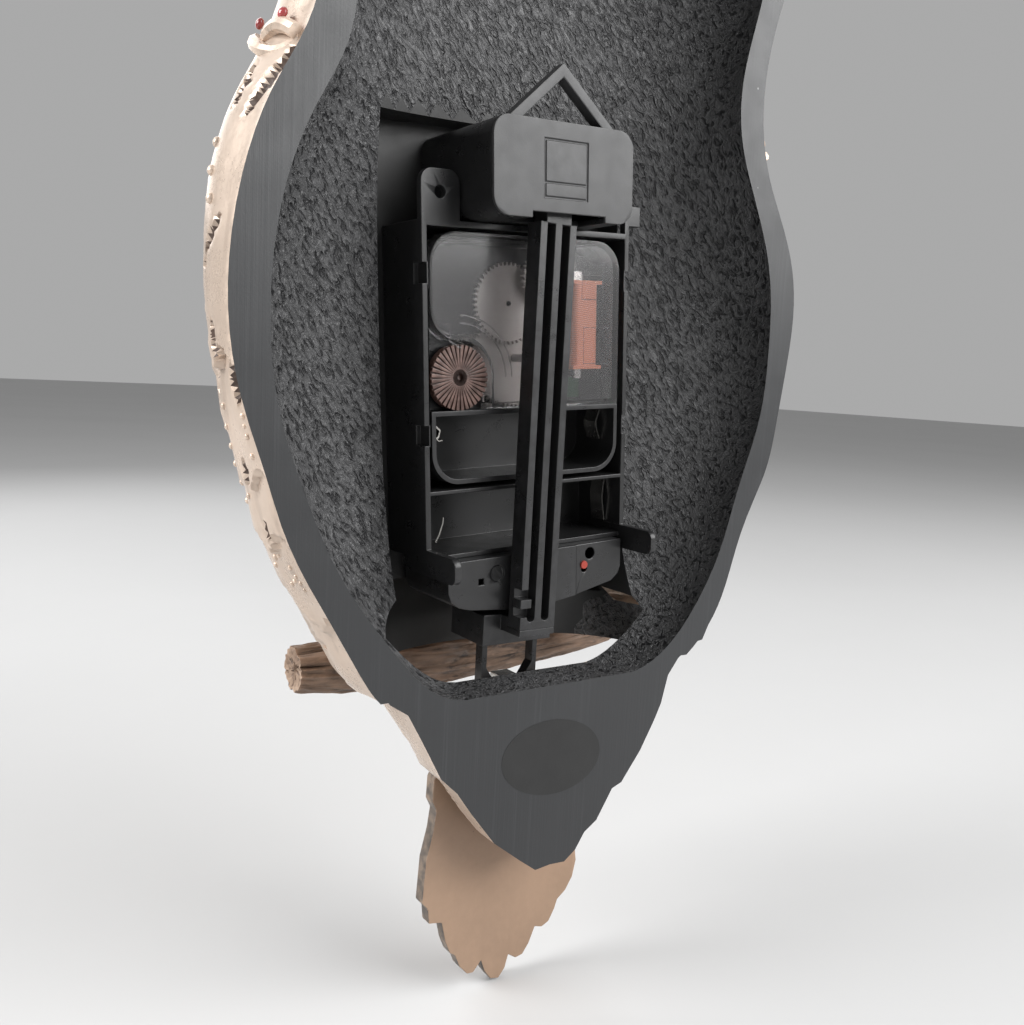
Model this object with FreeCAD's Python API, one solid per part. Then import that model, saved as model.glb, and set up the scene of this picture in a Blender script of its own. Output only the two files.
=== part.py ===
import FreeCAD, Part
import math
import os

# Owl-shaped cast wall clock, seen from behind in use: a hollow resin owl that hangs on a
# nail by the loop of its pendulum movement, with a tail that swings.
# Millimetres. +Z is up, the front faces -Y, the wall is the plane Y = 0, and the origin is
# the inner corner of the hanging loop, where the nail bears.

V = FreeCAD.Vector

# Clearances that several fits share
seat_gap = 0.2
running_gap = 0.06
glue_gap = 0.25
overrun = 2.0
weld = 0.3
same_share = 0.001

# Body: places and main sizes
body_axis_x = -2.5
body_top_z = 101.0
shell_bottom_z = -139.0
body_half_width = 78.7
body_depth = 50.0
cavity_top_z = 88.0
cavity_bottom_z = -141.3
cavity_half_width = 70.4
cavity_depth = 27.0

# Body outline: height from the shell's foot to the top, left half, right half, depth
body_section_shares = (
    (0.000, 0.560, 0.610, 0.90),
    (0.038, 0.640, 0.720, 0.94),
    (0.092, 0.737, 0.790, 0.98),
    (0.165, 0.853, 0.870, 1.00),
    (0.266, 0.958, 0.968, 1.00),
    (0.346, 1.000, 1.000, 1.00),
    (0.460, 0.958, 0.950, 0.98),
    (0.532, 0.868, 0.824, 0.94),
    (0.599, 0.784, 0.772, 0.91),
    (0.660, 0.785, 0.785, 0.96),
    (0.717, 0.830, 0.830, 1.02),
    (0.797, 0.890, 0.890, 1.08),
    (0.873, 0.860, 0.860, 1.06),
    (0.915, 0.795, 0.795, 1.00),
    (0.950, 0.690, 0.690, 0.90),
    (0.976, 0.550, 0.550, 0.76),
    (0.993, 0.370, 0.370, 0.56),
    (1.000, 0.180, 0.180, 0.32),
)
# Cavity outline: height from its floor to its top, left half, right half, depth
cavity_section_shares = (
    (0.000, 0.310, 0.400, 0.62),
    (0.012, 0.430, 0.520, 0.66),
    (0.038, 0.528, 0.628, 0.72),
    (0.071, 0.618, 0.713, 0.80),
    (0.128, 0.754, 0.814, 0.90),
    (0.208, 0.882, 0.895, 0.98),
    (0.289, 0.972, 0.980, 1.00),
    (0.371, 1.000, 1.000, 1.00),
    (0.468, 0.967, 0.960, 1.00),
    (0.540, 0.882, 0.852, 0.97),
    (0.596, 0.793, 0.767, 0.93),
    (0.653, 0.767, 0.746, 0.93),
    (0.747, 0.810, 0.810, 1.00),
    (0.834, 0.835, 0.835, 1.04),
    (0.905, 0.785, 0.785, 0.98),
    (0.945, 0.690, 0.690, 0.88),
    (0.972, 0.560, 0.560, 0.74),
    (0.990, 0.400, 0.400, 0.56),
    (1.000, 0.200, 0.200, 0.36),
)
# Half of a level cut through body or cavity: across, then forwards
half_cut_shares = ((1.0, 0.0), (0.998, 0.26), (0.93, 0.53), (0.74, 0.80), (0.42, 0.955), (0.0, 1.0))

# Tail plate of the body, flat against the wall, below the cavity
wedge_top_z = -128.0
wedge_bottom_z = -189.0
wedge_half_width = 56.0
wedge_depth_top = 12.4
wedge_depth_bottom = 7.0
wedge_outline_shares = (
    (0.920, 0.000), (0.814, 0.110), (0.745, 0.190), (0.663, 0.240), (0.595, 0.350), (0.498, 0.515),
    (0.416, 0.588), (0.343, 0.683), (0.216, 0.834), (0.079, 0.935), (-0.014, 1.000), (-0.096, 0.994),
    (-0.177, 1.000), (-0.238, 0.960), (-0.286, 0.892), (-0.354, 0.852), (-0.438, 0.726),
    (-0.493, 0.708), (-0.598, 0.582), (-0.675, 0.456), (-0.712, 0.384), (-0.745, 0.260),
    (-0.804, 0.190), (-0.902, 0.128), (-0.957, 0.122), (-0.990, 0.060), (-1.000, 0.000),
)

# Chamber behind the belly, open at the foot, that the pendulum passes through
chamber_top_z = -119.0
chamber_back = 12.4
chamber_corner = 15.0
chamber_left = 38.0
chamber_right = 43.5
chamber_section_shares = ((0.0, 0.470, 0.540, 0.76), (1.0, 0.640, 0.690, 0.82))

# Ear tufts
ear_x = 41.0
ear_root_z = 82.0
ear_height = 29.0
ear_root_width = 24.0
ear_root_depth = 17.0
ear_root_depth_share = 0.48
ear_tip_lean = 13.0
ear_tip_share = 0.12

# Movement: its lean in the body and its height under the nail
lean_deg = 3.5
hook_above_arbor = 62.3
arbor_x = -hook_above_arbor * math.sin(math.radians(lean_deg))
arbor_z = -hook_above_arbor * math.cos(math.radians(lean_deg))

# Module case, cover and battery bay
module_back = 14.3
module_thickness = 17.0
module_width = 56.0
module_top = 29.0
module_bottom = 29.5
module_corner = 7.5
module_wall = 1.2
cover_skirt = 6.0
cover_wall = 1.3
cover_foot = 12.0
bay_wall = 1.2
pocket_gap = 5.2
pocket_top_gap = 2.8

# Frame that carries the module, the hanger and the pendulum drive
frame_front_wall = 1.5
frame_half_width = 30.4
frame_side_wall = 1.5
frame_top = 31.2
frame_foot = 47.4
frame_foot_wall = 1.2
frame_rib_z = 30.6
frame_rib = 1.0
frame_back = 13.6
ear_tab_width = 10.2
ear_tab_height = 11.0
ear_tab_thickness = 2.0
ear_tab_corner = 3.0
ear_hole_r = 1.4
ear_hole_side = 5.0
ear_hole_drop = 5.0
side_notch = 1.3
side_notch_length = 4.6
side_notch_places_shares = (0.62, -0.56)
hook_tab_out = 3.6
hook_tab_height = 5.0
hook_tab_rise = 6.8

# Hooked arms that reach back to the wall
stop_arm_thickness = 1.8
stop_arm_height = 6.2
stop_arm_drop = 3.2
stop_arm_root = 12.0
stop_arm_wall_gap = 0.6

# Drive box and its cover under the lower battery bay
drive_cover_half_width = 26.7
drive_cover_back = 9.9
drive_cover_height = 14.2
drive_cover_wall = 1.2
drive_cover_step = 0.4
drive_cover_step_x = -11.6
drive_cover_outline_shares = (
    (1.00, 0.00), (1.00, 0.52), (0.97, 0.68), (0.88, 0.80), (0.76, 0.87), (0.28, 0.99), (0.05, 1.00),
    (-0.18, 0.98), (-0.44, 0.93), (-0.88, 0.78), (-0.97, 0.66), (-1.00, 0.52), (-1.00, 0.00),
)
drive_hole_r = 0.9
drive_dimple_r = 2.0
drive_square = 1.5
drive_screw_r = 1.5
drive_coil_r = 5.4
drive_coil_hole_r = 1.6
drive_coil_thickness = 3.0

# Hanger housing, its cover, the hanging loop
housing_half_width = 19.75
housing_floor = 31.4
housing_height = 21.2
housing_wall = 1.5
housing_corner = 4.2
hanger_cover_back = 0.3
hanger_cover_thickness = 0.9
arm_slot_half_width = 10.4
cover_notch_height = 1.4
panel_half_width = 6.2
panel_height = 12.9
panel_above_foot = 4.4
panel_groove = 0.5
panel_groove_depth = 0.3
panel_row_height = 3.2
loop_band = 2.0
loop_depth = 3.2
loop_back = 1.6
loop_half_base = 15.0

# Pendulum arm, its pin and what it carries
pivot_above_arbor = 43.0
pivot_local_x = -1.1
pivot_pin_r = 1.0
pivot_pin_head_r = 1.8
pivot_pin_head = 0.8
arm_half_width = 5.2
arm_back = 3.4
arm_depth = 5.2
arm_rib = 2.0
arm_groove_depth = 3.2
arm_eye_r = 3.6
arm_eye_drop = 12.0
arm_foot_z = -127.6
arm_cut_top_z = -117.6
arm_cut_foot_z = -124.4
arm_boss = 2.2
magnet_r = 3.6
magnet_thickness = 1.6
magnet_z = -113.5

# Stirrup under the arm that carries the tail
stirrup_half_width = 10.3
stirrup_top_z = -125.2
stirrup_block_height = 7.8
stirrup_back = 11.6
stirrup_depth = 15.2
stirrup_wall = 1.6
leg_outer = 8.4
leg_width = 1.5
leg_depth = 3.2
leg_back = 14.4
leg_foot_z = -146.0
stirrup_bar = 2.2
leg_gusset = 4.2

# Tail and its hook
tail_top_z = -147.6
tail_bottom_z = -227.0
tail_half_width = 23.8
tail_back = 12.8
tail_thickness = 3.6
tail_curve_r = 150.0
tail_outline_shares = (
    (0.30, 0.000), (0.34, 0.060), (0.62, 0.130), (0.84, 0.190), (0.91, 0.230), (0.92, 0.300),
    (0.86, 0.335), (0.89, 0.400), (0.97, 0.490), (1.00, 0.630), (0.92, 0.658), (0.90, 0.709),
    (0.73, 0.723), (0.67, 0.793), (0.60, 0.842), (0.53, 0.857), (0.46, 0.905), (0.35, 0.942),
    (0.27, 0.946), (0.17, 0.913), (0.12, 0.955), (0.03, 0.992), (-0.08, 1.000), (-0.16, 0.970),
    (-0.20, 0.925), (-0.30, 0.946), (-0.39, 0.940), (-0.47, 0.905), (-0.54, 0.850), (-0.63, 0.858),
    (-0.72, 0.843), (-0.79, 0.800), (-0.82, 0.768), (-0.92, 0.740), (-1.00, 0.694), (-1.04, 0.635),
    (-0.99, 0.540), (-0.96, 0.450), (-0.87, 0.360), (-0.84, 0.260), (-0.62, 0.150), (-0.34, 0.060),
    (-0.30, 0.000),
)
tail_hook_half_width = 2.6
tail_hook_wire = 1.1
tail_hook_top_z = -141.2
tail_hook_foot = 4.0
tail_hook_play = 0.4

# Dial, bezel and hands on the front
dial_wall = 5.0
dial_r = 43.0
dial_thickness = 1.2
bezel_r = 49.0
bezel_inner_r = 41.0
bezel_rise = 8.6
bezel_lip = 2.2
bezel_rivets = 12
bezel_rivet_r = 1.3
bush_r = 4.0
bush_reach = 13.2
bush_nut_width = 11.0
bush_nut_height = 2.2
washer_r = 7.5
washer_thickness = 0.6
hour_hand_length = 24.0
minute_hand_length = 34.0
hand_thickness = 0.7
hand_width = 3.6
hand_boss_r = 3.8
hand_ring_r = 4.6
hand_tail = 8.0
hour_hand_deg = 305.0
minute_hand_deg = 60.0
hour_hand_front = 45.2
hand_step = 1.6
hand_cap_r = 2.4
hand_cap_height = 1.8

# Gear train
minute_arbor_r = 1.0
hour_tube_wall = 0.9
train_module = 0.4
motion_module = 0.5
tooth_tip_share = 0.85
tooth_root_share = 1.15
tooth_root_width_share = 0.26
tooth_tip_width_share = 0.11
minute_wheel_teeth = 60
third_wheel_teeth = 48
seconds_wheel_teeth = 32
train_pinion_teeth = 8
rotor_pinion_teeth = 6
cannon_teeth = 10
reverse_teeth = 30
reverse_pinion_teeth = 8
hour_teeth = 32
setting_teeth = 12
wheel_thickness = 0.9
post_r = 0.6
post_foot_r = 1.3
reverse_deg = -12.0
setting_deg = -12.2
third_deg = 77.0
seconds_deg = 147.5
rotor_deg = 151.0
hour_wheel_front = 29.4
cannon_front = 28.0
minute_wheel_front = 22.6
third_wheel_front = 20.6
seconds_wheel_front = 18.6
rotor_r = 2.5
rotor_front = 24.0
rotor_height = 3.6
post_back = 17.0
post_over = 0.3

# Setting knob and its well
knob_r = 7.7
knob_back = 14.6
knob_thickness = 2.6
knob_ribs = 36
knob_rib_depth = 0.7
knob_rib_share = 0.45
knob_stem_r = 1.4
knob_well_gap = 0.9
knob_flare_r = 7.5
well_floor_back = 19.0
well_floor = 1.0

# Stepper motor and circuit
coil_x = -19.0
coil_foot = -2.0
coil_height = 20.4
coil_half_width = 4.0
coil_back = 16.7
coil_corner = 1.6
flange_thickness = 0.9
flange_over = 0.5
core_width = 2.0
core_thickness = 1.0
core_over = 3.4
stator_ring_over = 1.7
stator_gap = 0.5
board_width = 13.0
board_height = 5.6
board_thickness = 1.4
board_x = -19.5
board_foot = -11.0
chip_r = 1.9
chip_height = 1.0

# Battery contacts
contact_thickness = 0.4
contact_width = 5.0
contact_bend = 4.2
contact_wall_gap = 0.1
contact_reach = 12.0

# Face and feet
eye_x = 27.0
eye_z = 50.0
eye_seat_recess = 7.0
eye_ring_r = 19.5
eye_ring_inner_r = 13.0
eye_ring_rise = 10.0
eye_ring_lip = 2.4
eye_dome_rise = 5.0
beak_z = 40.0
beak_width = 13.0
beak_length = 24.0
beak_reach = 13.0
branch_set_back = 4.0
branch_z = -145.4
branch_right_x = -62.0
branch_length = 105.5
branch_r = 7.8
branch_cut_shares = (
    (0.00, 0.66, 0.36), (0.08, 0.80, 0.30), (0.21, 0.87, 0.20), (0.52, 1.02, 0.04),
    (0.78, 1.00, 0.05), (0.94, 0.88, 0.15), (1.00, 0.78, 0.20),
)
foot_x = 21.0
foot_leg_r = 8.0
foot_leg_foot_r = 6.0
foot_leg_top_z = -124.0
foot_leg_set_back = 5.0
toe_r = 2.9
toe_spread = 7.0
toe_start_deg = 4.0
toe_sweep_deg = 100.0
claw_length = 6.5


# Small makers

def box(x_low, x_high, y_low, y_high, z_low, z_high):
    """A box between two corners."""
    return Part.makeBox(x_high - x_low, y_high - y_low, z_high - z_low, V(x_low, y_low, z_low))


def rod_y(x, z, radius, back, front):
    """A round bar along Y from depth back to depth front, depths counted from the wall."""
    return Part.makeCylinder(radius, front - back, V(x, -front, z), V(0, 1, 0))


def cone_y(x, z, back_r, front_r, back, front):
    """A tapered round bar along Y."""
    return Part.makeCone(front_r, back_r, front - back, V(x, -front, z), V(0, 1, 0))


def plate(points, back, front):
    """A flat plate whose outline lies in X and Z, between two depths from the wall."""
    corners = [V(x, -front, z) for x, z in points]
    wire = Part.makePolygon(corners + [corners[0]])
    return Part.Face(wire).extrude(V(0, front - back, 0))


def rounded_plate(x_low, x_high, z_low, z_high, radius, back, front, top_only=False):
    """A rectangular plate with its corners, or only the two upper ones, rounded."""
    block = box(x_low, x_high, -front, -back, z_low, z_high)
    fine = overrun * same_share
    edges = [e for e in block.Edges
             if abs(e.Vertexes[0].X - e.Vertexes[1].X) < fine and abs(e.Vertexes[0].Z - e.Vertexes[1].Z) < fine]
    if top_only:
        edges = [e for e in edges if e.Vertexes[0].Z > z_high - fine]
    return block.makeFillet(radius, edges)


def fused(shapes):
    """One shape from many that touch or overlap."""
    first = shapes[0]
    if len(shapes) == 1:
        return first
    return first.fuse(shapes[1:]).removeSplitter()


def place(shape, x, y, z):
    """The shape moved by a step."""
    moved = shape.copy()
    moved.translate(V(x, y, z))
    return moved


def leaned(shape):
    """From the movement's own upright frame, centred on the arbor, to the clock's frame."""
    turned = shape.copy()
    turned.rotate(V(0, 0, 0), V(0, 1, 0), lean_deg)
    turned.translate(V(arbor_x, 0, arbor_z))
    return turned


def pendulum_local_x(local_z):
    """Where the plumb line under the pin crosses a height of the leaning frame."""
    return (pin_x - arbor_x - local_z * math.sin(lean)) / math.cos(lean)


def polar(centre, radius, degrees):
    """A point at a distance and angle from another, in X and Z."""
    angle = math.radians(degrees)
    return (centre[0] + radius * math.cos(angle), centre[1] + radius * math.sin(angle))


def lofted(wires):
    """A smooth solid through level cuts."""
    return Part.makeLoft(wires, True, False)


def level_cut(z, left, right, depth):
    """A cut through body or cavity: flat at the wall, round in front."""
    left_side = [V(body_axis_x + left * across, -depth * forwards, z) for across, forwards in half_cut_shares]
    right_side = [V(body_axis_x - right * across, -depth * forwards, z)
                  for across, forwards in reversed(half_cut_shares[:-1])]
    points = left_side + right_side
    curve = Part.BSplineCurve()
    curve.interpolate(points)
    return Part.Wire([curve.toShape(), Part.makeLine(points[-1], points[0])])


def shell_solid(shares, foot_z, top_z, half_width, depth):
    """The solid through a table of level cuts."""
    height = top_z - foot_z
    wires = [level_cut(foot_z + share * height, left * half_width, right * half_width, forward * depth)
             for share, left, right, forward in shares]
    return lofted(wires)


def gear(centre, module, teeth, back, front, first_tooth_deg):
    """A toothed wheel along Y with straight-sided teeth."""
    pitch_r = module * teeth / 2
    tip_r = pitch_r + module * tooth_tip_share
    root_r = pitch_r - module * tooth_root_share
    step = 360.0 / teeth
    half_root = step * tooth_root_width_share
    half_tip = step * tooth_tip_width_share
    points = []
    for tooth in range(teeth):
        middle = first_tooth_deg + tooth * step
        points.append(polar(centre, root_r, middle - half_root))
        points.append(polar(centre, tip_r, middle - half_tip))
        points.append(polar(centre, tip_r, middle + half_tip))
        points.append(polar(centre, root_r, middle + half_root))
    return plate(points, back, front)


def mate_tooth_deg(tooth_deg, teeth, line_deg, mate_teeth):
    """Where a mating wheel has a tooth, for two wheels in mesh along a line of centres."""
    step = 360.0 / teeth
    past = (line_deg - tooth_deg) % step
    return line_deg + 180.0 + past * teeth / mate_teeth + 180.0 / mate_teeth


# Worked-out places, in the movement's own frame unless a name says otherwise

module_front = module_back + module_thickness
frame_front = module_front + frame_front_wall
dial_seat = frame_front + dial_wall
half_module = module_width / 2
inner_half_module = half_module - module_wall
cover_seam = module_back + cover_skirt
case_floor = module_front - module_wall
cannon_back = cannon_front - 2 * wheel_thickness
minute_wheel_tip_r = train_module * (minute_wheel_teeth / 2 + tooth_tip_share)
bay_contact_height = module_bottom - module_corner - cover_foot - bay_wall - 2 * contact_thickness
arbor_centre = (0.0, 0.0)
reverse_centre = polar(arbor_centre, motion_module * (cannon_teeth + reverse_teeth) / 2, reverse_deg)
knob_centre = polar(reverse_centre, motion_module * (reverse_teeth + setting_teeth) / 2, setting_deg)
third_centre = polar(arbor_centre, train_module * (minute_wheel_teeth + train_pinion_teeth) / 2, third_deg)
seconds_centre = polar(third_centre, train_module * (third_wheel_teeth + train_pinion_teeth) / 2, seconds_deg)
rotor_centre = polar(seconds_centre, train_module * (seconds_wheel_teeth + rotor_pinion_teeth) / 2, rotor_deg)
hour_tube_bore = minute_arbor_r + running_gap
hour_tube_r = hour_tube_bore + hour_tube_wall
bush_bore = hour_tube_r + running_gap
bush_front = module_front + bush_reach
housing_top = housing_floor + housing_height
bay_floor = case_floor
bay_top = cover_foot + bay_wall
frame_inner_half = frame_half_width - frame_side_wall
tail_sag = tail_curve_r - math.sqrt(tail_curve_r ** 2 - tail_half_width ** 2)
lean = math.radians(lean_deg)
pin_x = arbor_x + pivot_local_x * math.cos(lean) + pivot_above_arbor * math.sin(lean)
pin_z = arbor_z - pivot_local_x * math.sin(lean) + pivot_above_arbor * math.cos(lean)
drive_cover_foot = frame_foot + drive_cover_height
ear_root_y = -body_depth * ear_root_depth_share
eye_seat_y = eye_seat_recess - body_depth
beak_root_y = -body_depth
branch_y = branch_set_back - body_depth
foot_leg_y = foot_leg_set_back - body_depth
lower_bay_top = frame_rib_z + frame_rib


# Body

def make_owl_body():
    """The cast owl: hollow, open to the wall, with a pocket for the movement."""
    outer = shell_solid(body_section_shares, shell_bottom_z, body_top_z, body_half_width, body_depth)
    height = wedge_top_z - wedge_bottom_z
    outline = [(body_axis_x + across * wedge_half_width, wedge_top_z - down * height)
               for across, down in wedge_outline_shares]
    wedge = plate(outline, 0, wedge_depth_top)
    thin = wedge_depth_top - wedge_depth_bottom
    taper = Part.Face(Part.makePolygon([
        V(0, -wedge_depth_top, cavity_bottom_z),
        V(0, -wedge_depth_bottom, wedge_bottom_z - overrun),
        V(0, -wedge_depth_top - thin, wedge_bottom_z - overrun),
        V(0, -wedge_depth_top - thin, cavity_bottom_z),
        V(0, -wedge_depth_top, cavity_bottom_z)])).extrude(V(4 * wedge_half_width, 0, 0))
    wedge = wedge.cut(place(taper, -2 * wedge_half_width, 0, 0))
    solid = fused([outer, wedge, make_ear(1), make_ear(-1)])
    cavity = shell_solid(cavity_section_shares, cavity_bottom_z, cavity_top_z, cavity_half_width, cavity_depth)
    solid = solid.cut(cavity)
    solid = solid.cut(make_chamber())
    solid = solid.cut(leaned(make_pocket()))
    solid = solid.cut(rod_y(arbor_x, arbor_z, bezel_r + seat_gap, dial_seat, body_depth + bezel_r))
    solid = solid.cut(rod_y(arbor_x, arbor_z, bush_r + seat_gap, frame_front - overrun, dial_seat + overrun))
    for side in (1, -1):
        seat = rod_y(body_axis_x + side * eye_x, eye_z, eye_ring_r + seat_gap, -eye_seat_y, body_depth + eye_ring_r)
        solid = solid.cut(seat)
    solid = solid.cut(make_branch_form(glue_gap))
    return solid


def make_ear(side):
    """A pointed tuft on the head."""
    wires = []
    for share, shrink in ((0.0, 1.0), (0.45, 0.72), (0.8, 0.36), (1.0, ear_tip_share)):
        x = body_axis_x + side * (ear_x + ear_tip_lean * share)
        centre = V(x, ear_root_y, ear_root_z + ear_height * share)
        ellipse = Part.Ellipse(centre, ear_root_width * shrink / 2, ear_root_depth * shrink / 2)
        wires.append(Part.Wire([ellipse.toShape()]))
    return lofted(wires)


def make_chamber():
    """The space behind the belly's foot, open downwards, with a round-cornered roof."""
    room = shell_solid(chamber_section_shares, shell_bottom_z - overrun, chamber_top_z + overrun,
                       body_half_width, body_depth)
    arch = rounded_plate(body_axis_x - chamber_right, body_axis_x + chamber_left,
                         shell_bottom_z - 2 * chamber_corner, chamber_top_z,
                         chamber_corner, chamber_back, body_depth)
    return room.common(arch)


def make_pocket():
    """The recess that takes the movement frame, as deep as the frame."""
    side = frame_half_width + pocket_gap
    return box(-side, side, -frame_front, -module_back, -drive_cover_foot - pocket_gap,
               housing_top + pocket_top_gap)


def make_branch_form(grow):
    """The log under the feet as a smooth tapering bar, grown by a gap for cutting its seat."""
    wires = []
    for share, size, lift in branch_cut_shares:
        x = branch_right_x + branch_length * share
        if share == 0.0:
            x -= grow
        if share == 1.0:
            x += grow
        centre = V(x, branch_y, branch_z + lift * branch_r)
        circle = Part.Circle(centre, V(1, 0, 0), branch_r * size + grow)
        wires.append(Part.Wire([circle.toShape()]))
    return lofted(wires)


def make_branch():
    """The log the owl sits on."""
    return make_branch_form(0)


def make_foot(side, body):
    """A leg that meets the body and three toes that grip the log."""
    x = body_axis_x + side * foot_x
    ring_r = branch_r + seat_gap + toe_r
    leg_height = foot_leg_top_z - (branch_z + ring_r)
    leg = Part.makeCone(foot_leg_r, foot_leg_foot_r, leg_height, V(x, foot_leg_y, foot_leg_top_z), V(0, 0, -1))
    parts = [max(leg.cut(body).Solids, key=lambda solid: -solid.CenterOfMass.y)]
    for step in (-1, 0, 1):
        toe_x = x + step * toe_spread
        toe = Part.makeTorus(ring_r, toe_r, V(toe_x, branch_y, branch_z), V(1, 0, 0), -180, 180, toe_sweep_deg)
        toe.rotate(V(toe_x, branch_y, branch_z), V(1, 0, 0), toe_start_deg)
        parts.append(toe)
        parts.append(make_claw(toe_x, ring_r, math.radians(toe_start_deg + toe_sweep_deg)))
    foot = fused(parts).cut([make_branch_form(seat_gap / 2), body])
    return max(foot.Solids, key=lambda solid: solid.Volume)


def make_claw(x, ring_r, angle):
    """A pointed claw on the end of a toe, at an angle from the log's top towards the front."""
    end = V(x, branch_y - ring_r * math.sin(angle), branch_z + ring_r * math.cos(angle))
    along = V(0, -math.cos(angle), -math.sin(angle))
    return Part.makeCone(toe_r, toe_r / 4, claw_length, end, along)


def make_eye_ring(side):
    """The round rim about an eye, in its seat on the face."""
    x = body_axis_x + side * eye_x
    back = -eye_seat_y
    ring = rod_y(x, eye_z, eye_ring_r, back, back + eye_ring_rise - eye_ring_lip)
    ring = ring.fuse(cone_y(x, eye_z, eye_ring_r, eye_ring_r - eye_ring_lip,
                            back + eye_ring_rise - eye_ring_lip, back + eye_ring_rise))
    bore = rod_y(x, eye_z, eye_ring_inner_r, back - overrun, back + eye_ring_rise + overrun)
    return ring.cut(bore).removeSplitter()


def make_eye(side):
    """A domed eye inside its rim."""
    x = body_axis_x + side * eye_x
    back = -eye_seat_y
    radius = eye_ring_inner_r - seat_gap
    ball_r = (radius * radius + eye_dome_rise * eye_dome_rise) / (2 * eye_dome_rise)
    front = back + eye_ring_rise - eye_ring_lip
    ball = Part.makeSphere(ball_r, V(x, ball_r - front, eye_z))
    barrel = rod_y(x, eye_z, radius, back, back + eye_ring_rise + overrun)
    return barrel.common(ball)


def make_beak():
    """A hooked beak between the eyes, cut to lie on the face."""
    wires = []
    for down, across, out in ((0.0, 0.55, 0.50), (0.3, 1.0, 0.90), (0.65, 0.72, 1.0), (1.0, 0.12, 0.62)):
        z = beak_z - beak_length * down + beak_length / 2
        half = beak_width * across / 2
        reach = beak_reach * out
        curve = Part.BSplineCurve()
        curve.interpolate([V(body_axis_x + half, beak_root_y, z), V(body_axis_x, beak_root_y - reach, z),
                           V(body_axis_x - half, beak_root_y, z)])
        base = Part.makeLine(V(body_axis_x - half, beak_root_y, z), V(body_axis_x + half, beak_root_y, z))
        wires.append(Part.Wire([curve.toShape(), base]))
    return lofted(wires)


# Dial and hands

def make_dial():
    """The flat dial plate."""
    return rod_y(arbor_x, arbor_z, dial_r, dial_seat, dial_seat + dial_thickness).cut(
        rod_y(arbor_x, arbor_z, bush_r + seat_gap, dial_seat - overrun, dial_seat + dial_thickness + overrun))


def make_dial_bezel():
    """The ring round the dial, with a row of rivets on its front."""
    front = dial_seat + bezel_rise
    ring = rod_y(arbor_x, arbor_z, bezel_r, dial_seat, front - bezel_lip)
    ring = ring.fuse(cone_y(arbor_x, arbor_z, bezel_r, bezel_r - bezel_lip, front - bezel_lip, front))
    ring = ring.cut(rod_y(arbor_x, arbor_z, bezel_inner_r, dial_seat - overrun, front + overrun))
    ring = ring.cut(rod_y(arbor_x, arbor_z, dial_r + seat_gap, dial_seat - overrun,
                          dial_seat + dial_thickness + seat_gap))
    rivets = []
    for number in range(bezel_rivets):
        spot = polar((arbor_x, arbor_z), (bezel_inner_r + bezel_r) / 2, 360.0 * number / bezel_rivets)
        rivets.append(Part.makeSphere(bezel_rivet_r, V(spot[0], -front, spot[1])))
    return fused([ring] + rivets)


def make_washer():
    """The washer under the bush nut."""
    back = dial_seat + dial_thickness
    return rod_y(arbor_x, arbor_z, washer_r, back, back + washer_thickness).cut(
        rod_y(arbor_x, arbor_z, bush_r + seat_gap, back - overrun, back + washer_thickness + overrun))


def make_bush_nut():
    """The hexagon nut that holds the movement to the dial."""
    back = dial_seat + dial_thickness + washer_thickness
    corner_r = bush_nut_width / math.sqrt(3)
    points = [polar((arbor_x, arbor_z), corner_r, 60.0 * corner) for corner in range(6)]
    return plate(points, back, back + bush_nut_height).cut(
        rod_y(arbor_x, arbor_z, bush_r + running_gap, back - overrun, back + bush_nut_height + overrun))


def make_hand(length, back, bore_r, degrees):
    """A pierced hand that points up, turned to its place on the dial."""
    half = hand_width / 2
    shoulder = length * 0.62
    points = [(-half, -hand_tail), (half, -hand_tail), (half * 0.55, 0), (half * 0.55, shoulder),
              (half, shoulder + half), (0, length), (-half, shoulder + half), (-half * 0.55, shoulder),
              (-half * 0.55, 0)]
    blade = plate(points, back, back + hand_thickness)
    ring = rod_y(0, shoulder * 0.72, hand_ring_r, back, back + hand_thickness)
    ring_hole = rod_y(0, shoulder * 0.72, hand_ring_r * 0.62, back - overrun, back + hand_thickness + overrun)
    boss = rod_y(0, 0, hand_boss_r, back, back + hand_thickness)
    hand = fused([blade, ring, boss]).cut(ring_hole)
    hand = hand.cut(rod_y(0, 0, bore_r, back - overrun, back + hand_thickness + overrun))
    hand.rotate(V(0, 0, 0), V(0, 1, 0), degrees)
    return place(hand, arbor_x, 0, arbor_z)


def make_hour_hand():
    return make_hand(hour_hand_length, hour_hand_front - hand_thickness, hour_tube_r, hour_hand_deg)


def make_minute_hand():
    back = hour_hand_front - hand_thickness + hand_step
    return make_hand(minute_hand_length, back, minute_arbor_r, minute_hand_deg)


def make_hand_cap():
    """The domed nut on the end of the minute arbor."""
    back = hour_hand_front + hand_step
    cap = cone_y(arbor_x, arbor_z, hand_cap_r, hand_cap_r / 2, back, back + hand_cap_height)
    return cap.cut(rod_y(arbor_x, arbor_z, minute_arbor_r, back - overrun, back + hand_cap_height / 2))


# Gear train, in the movement's own frame

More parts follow.
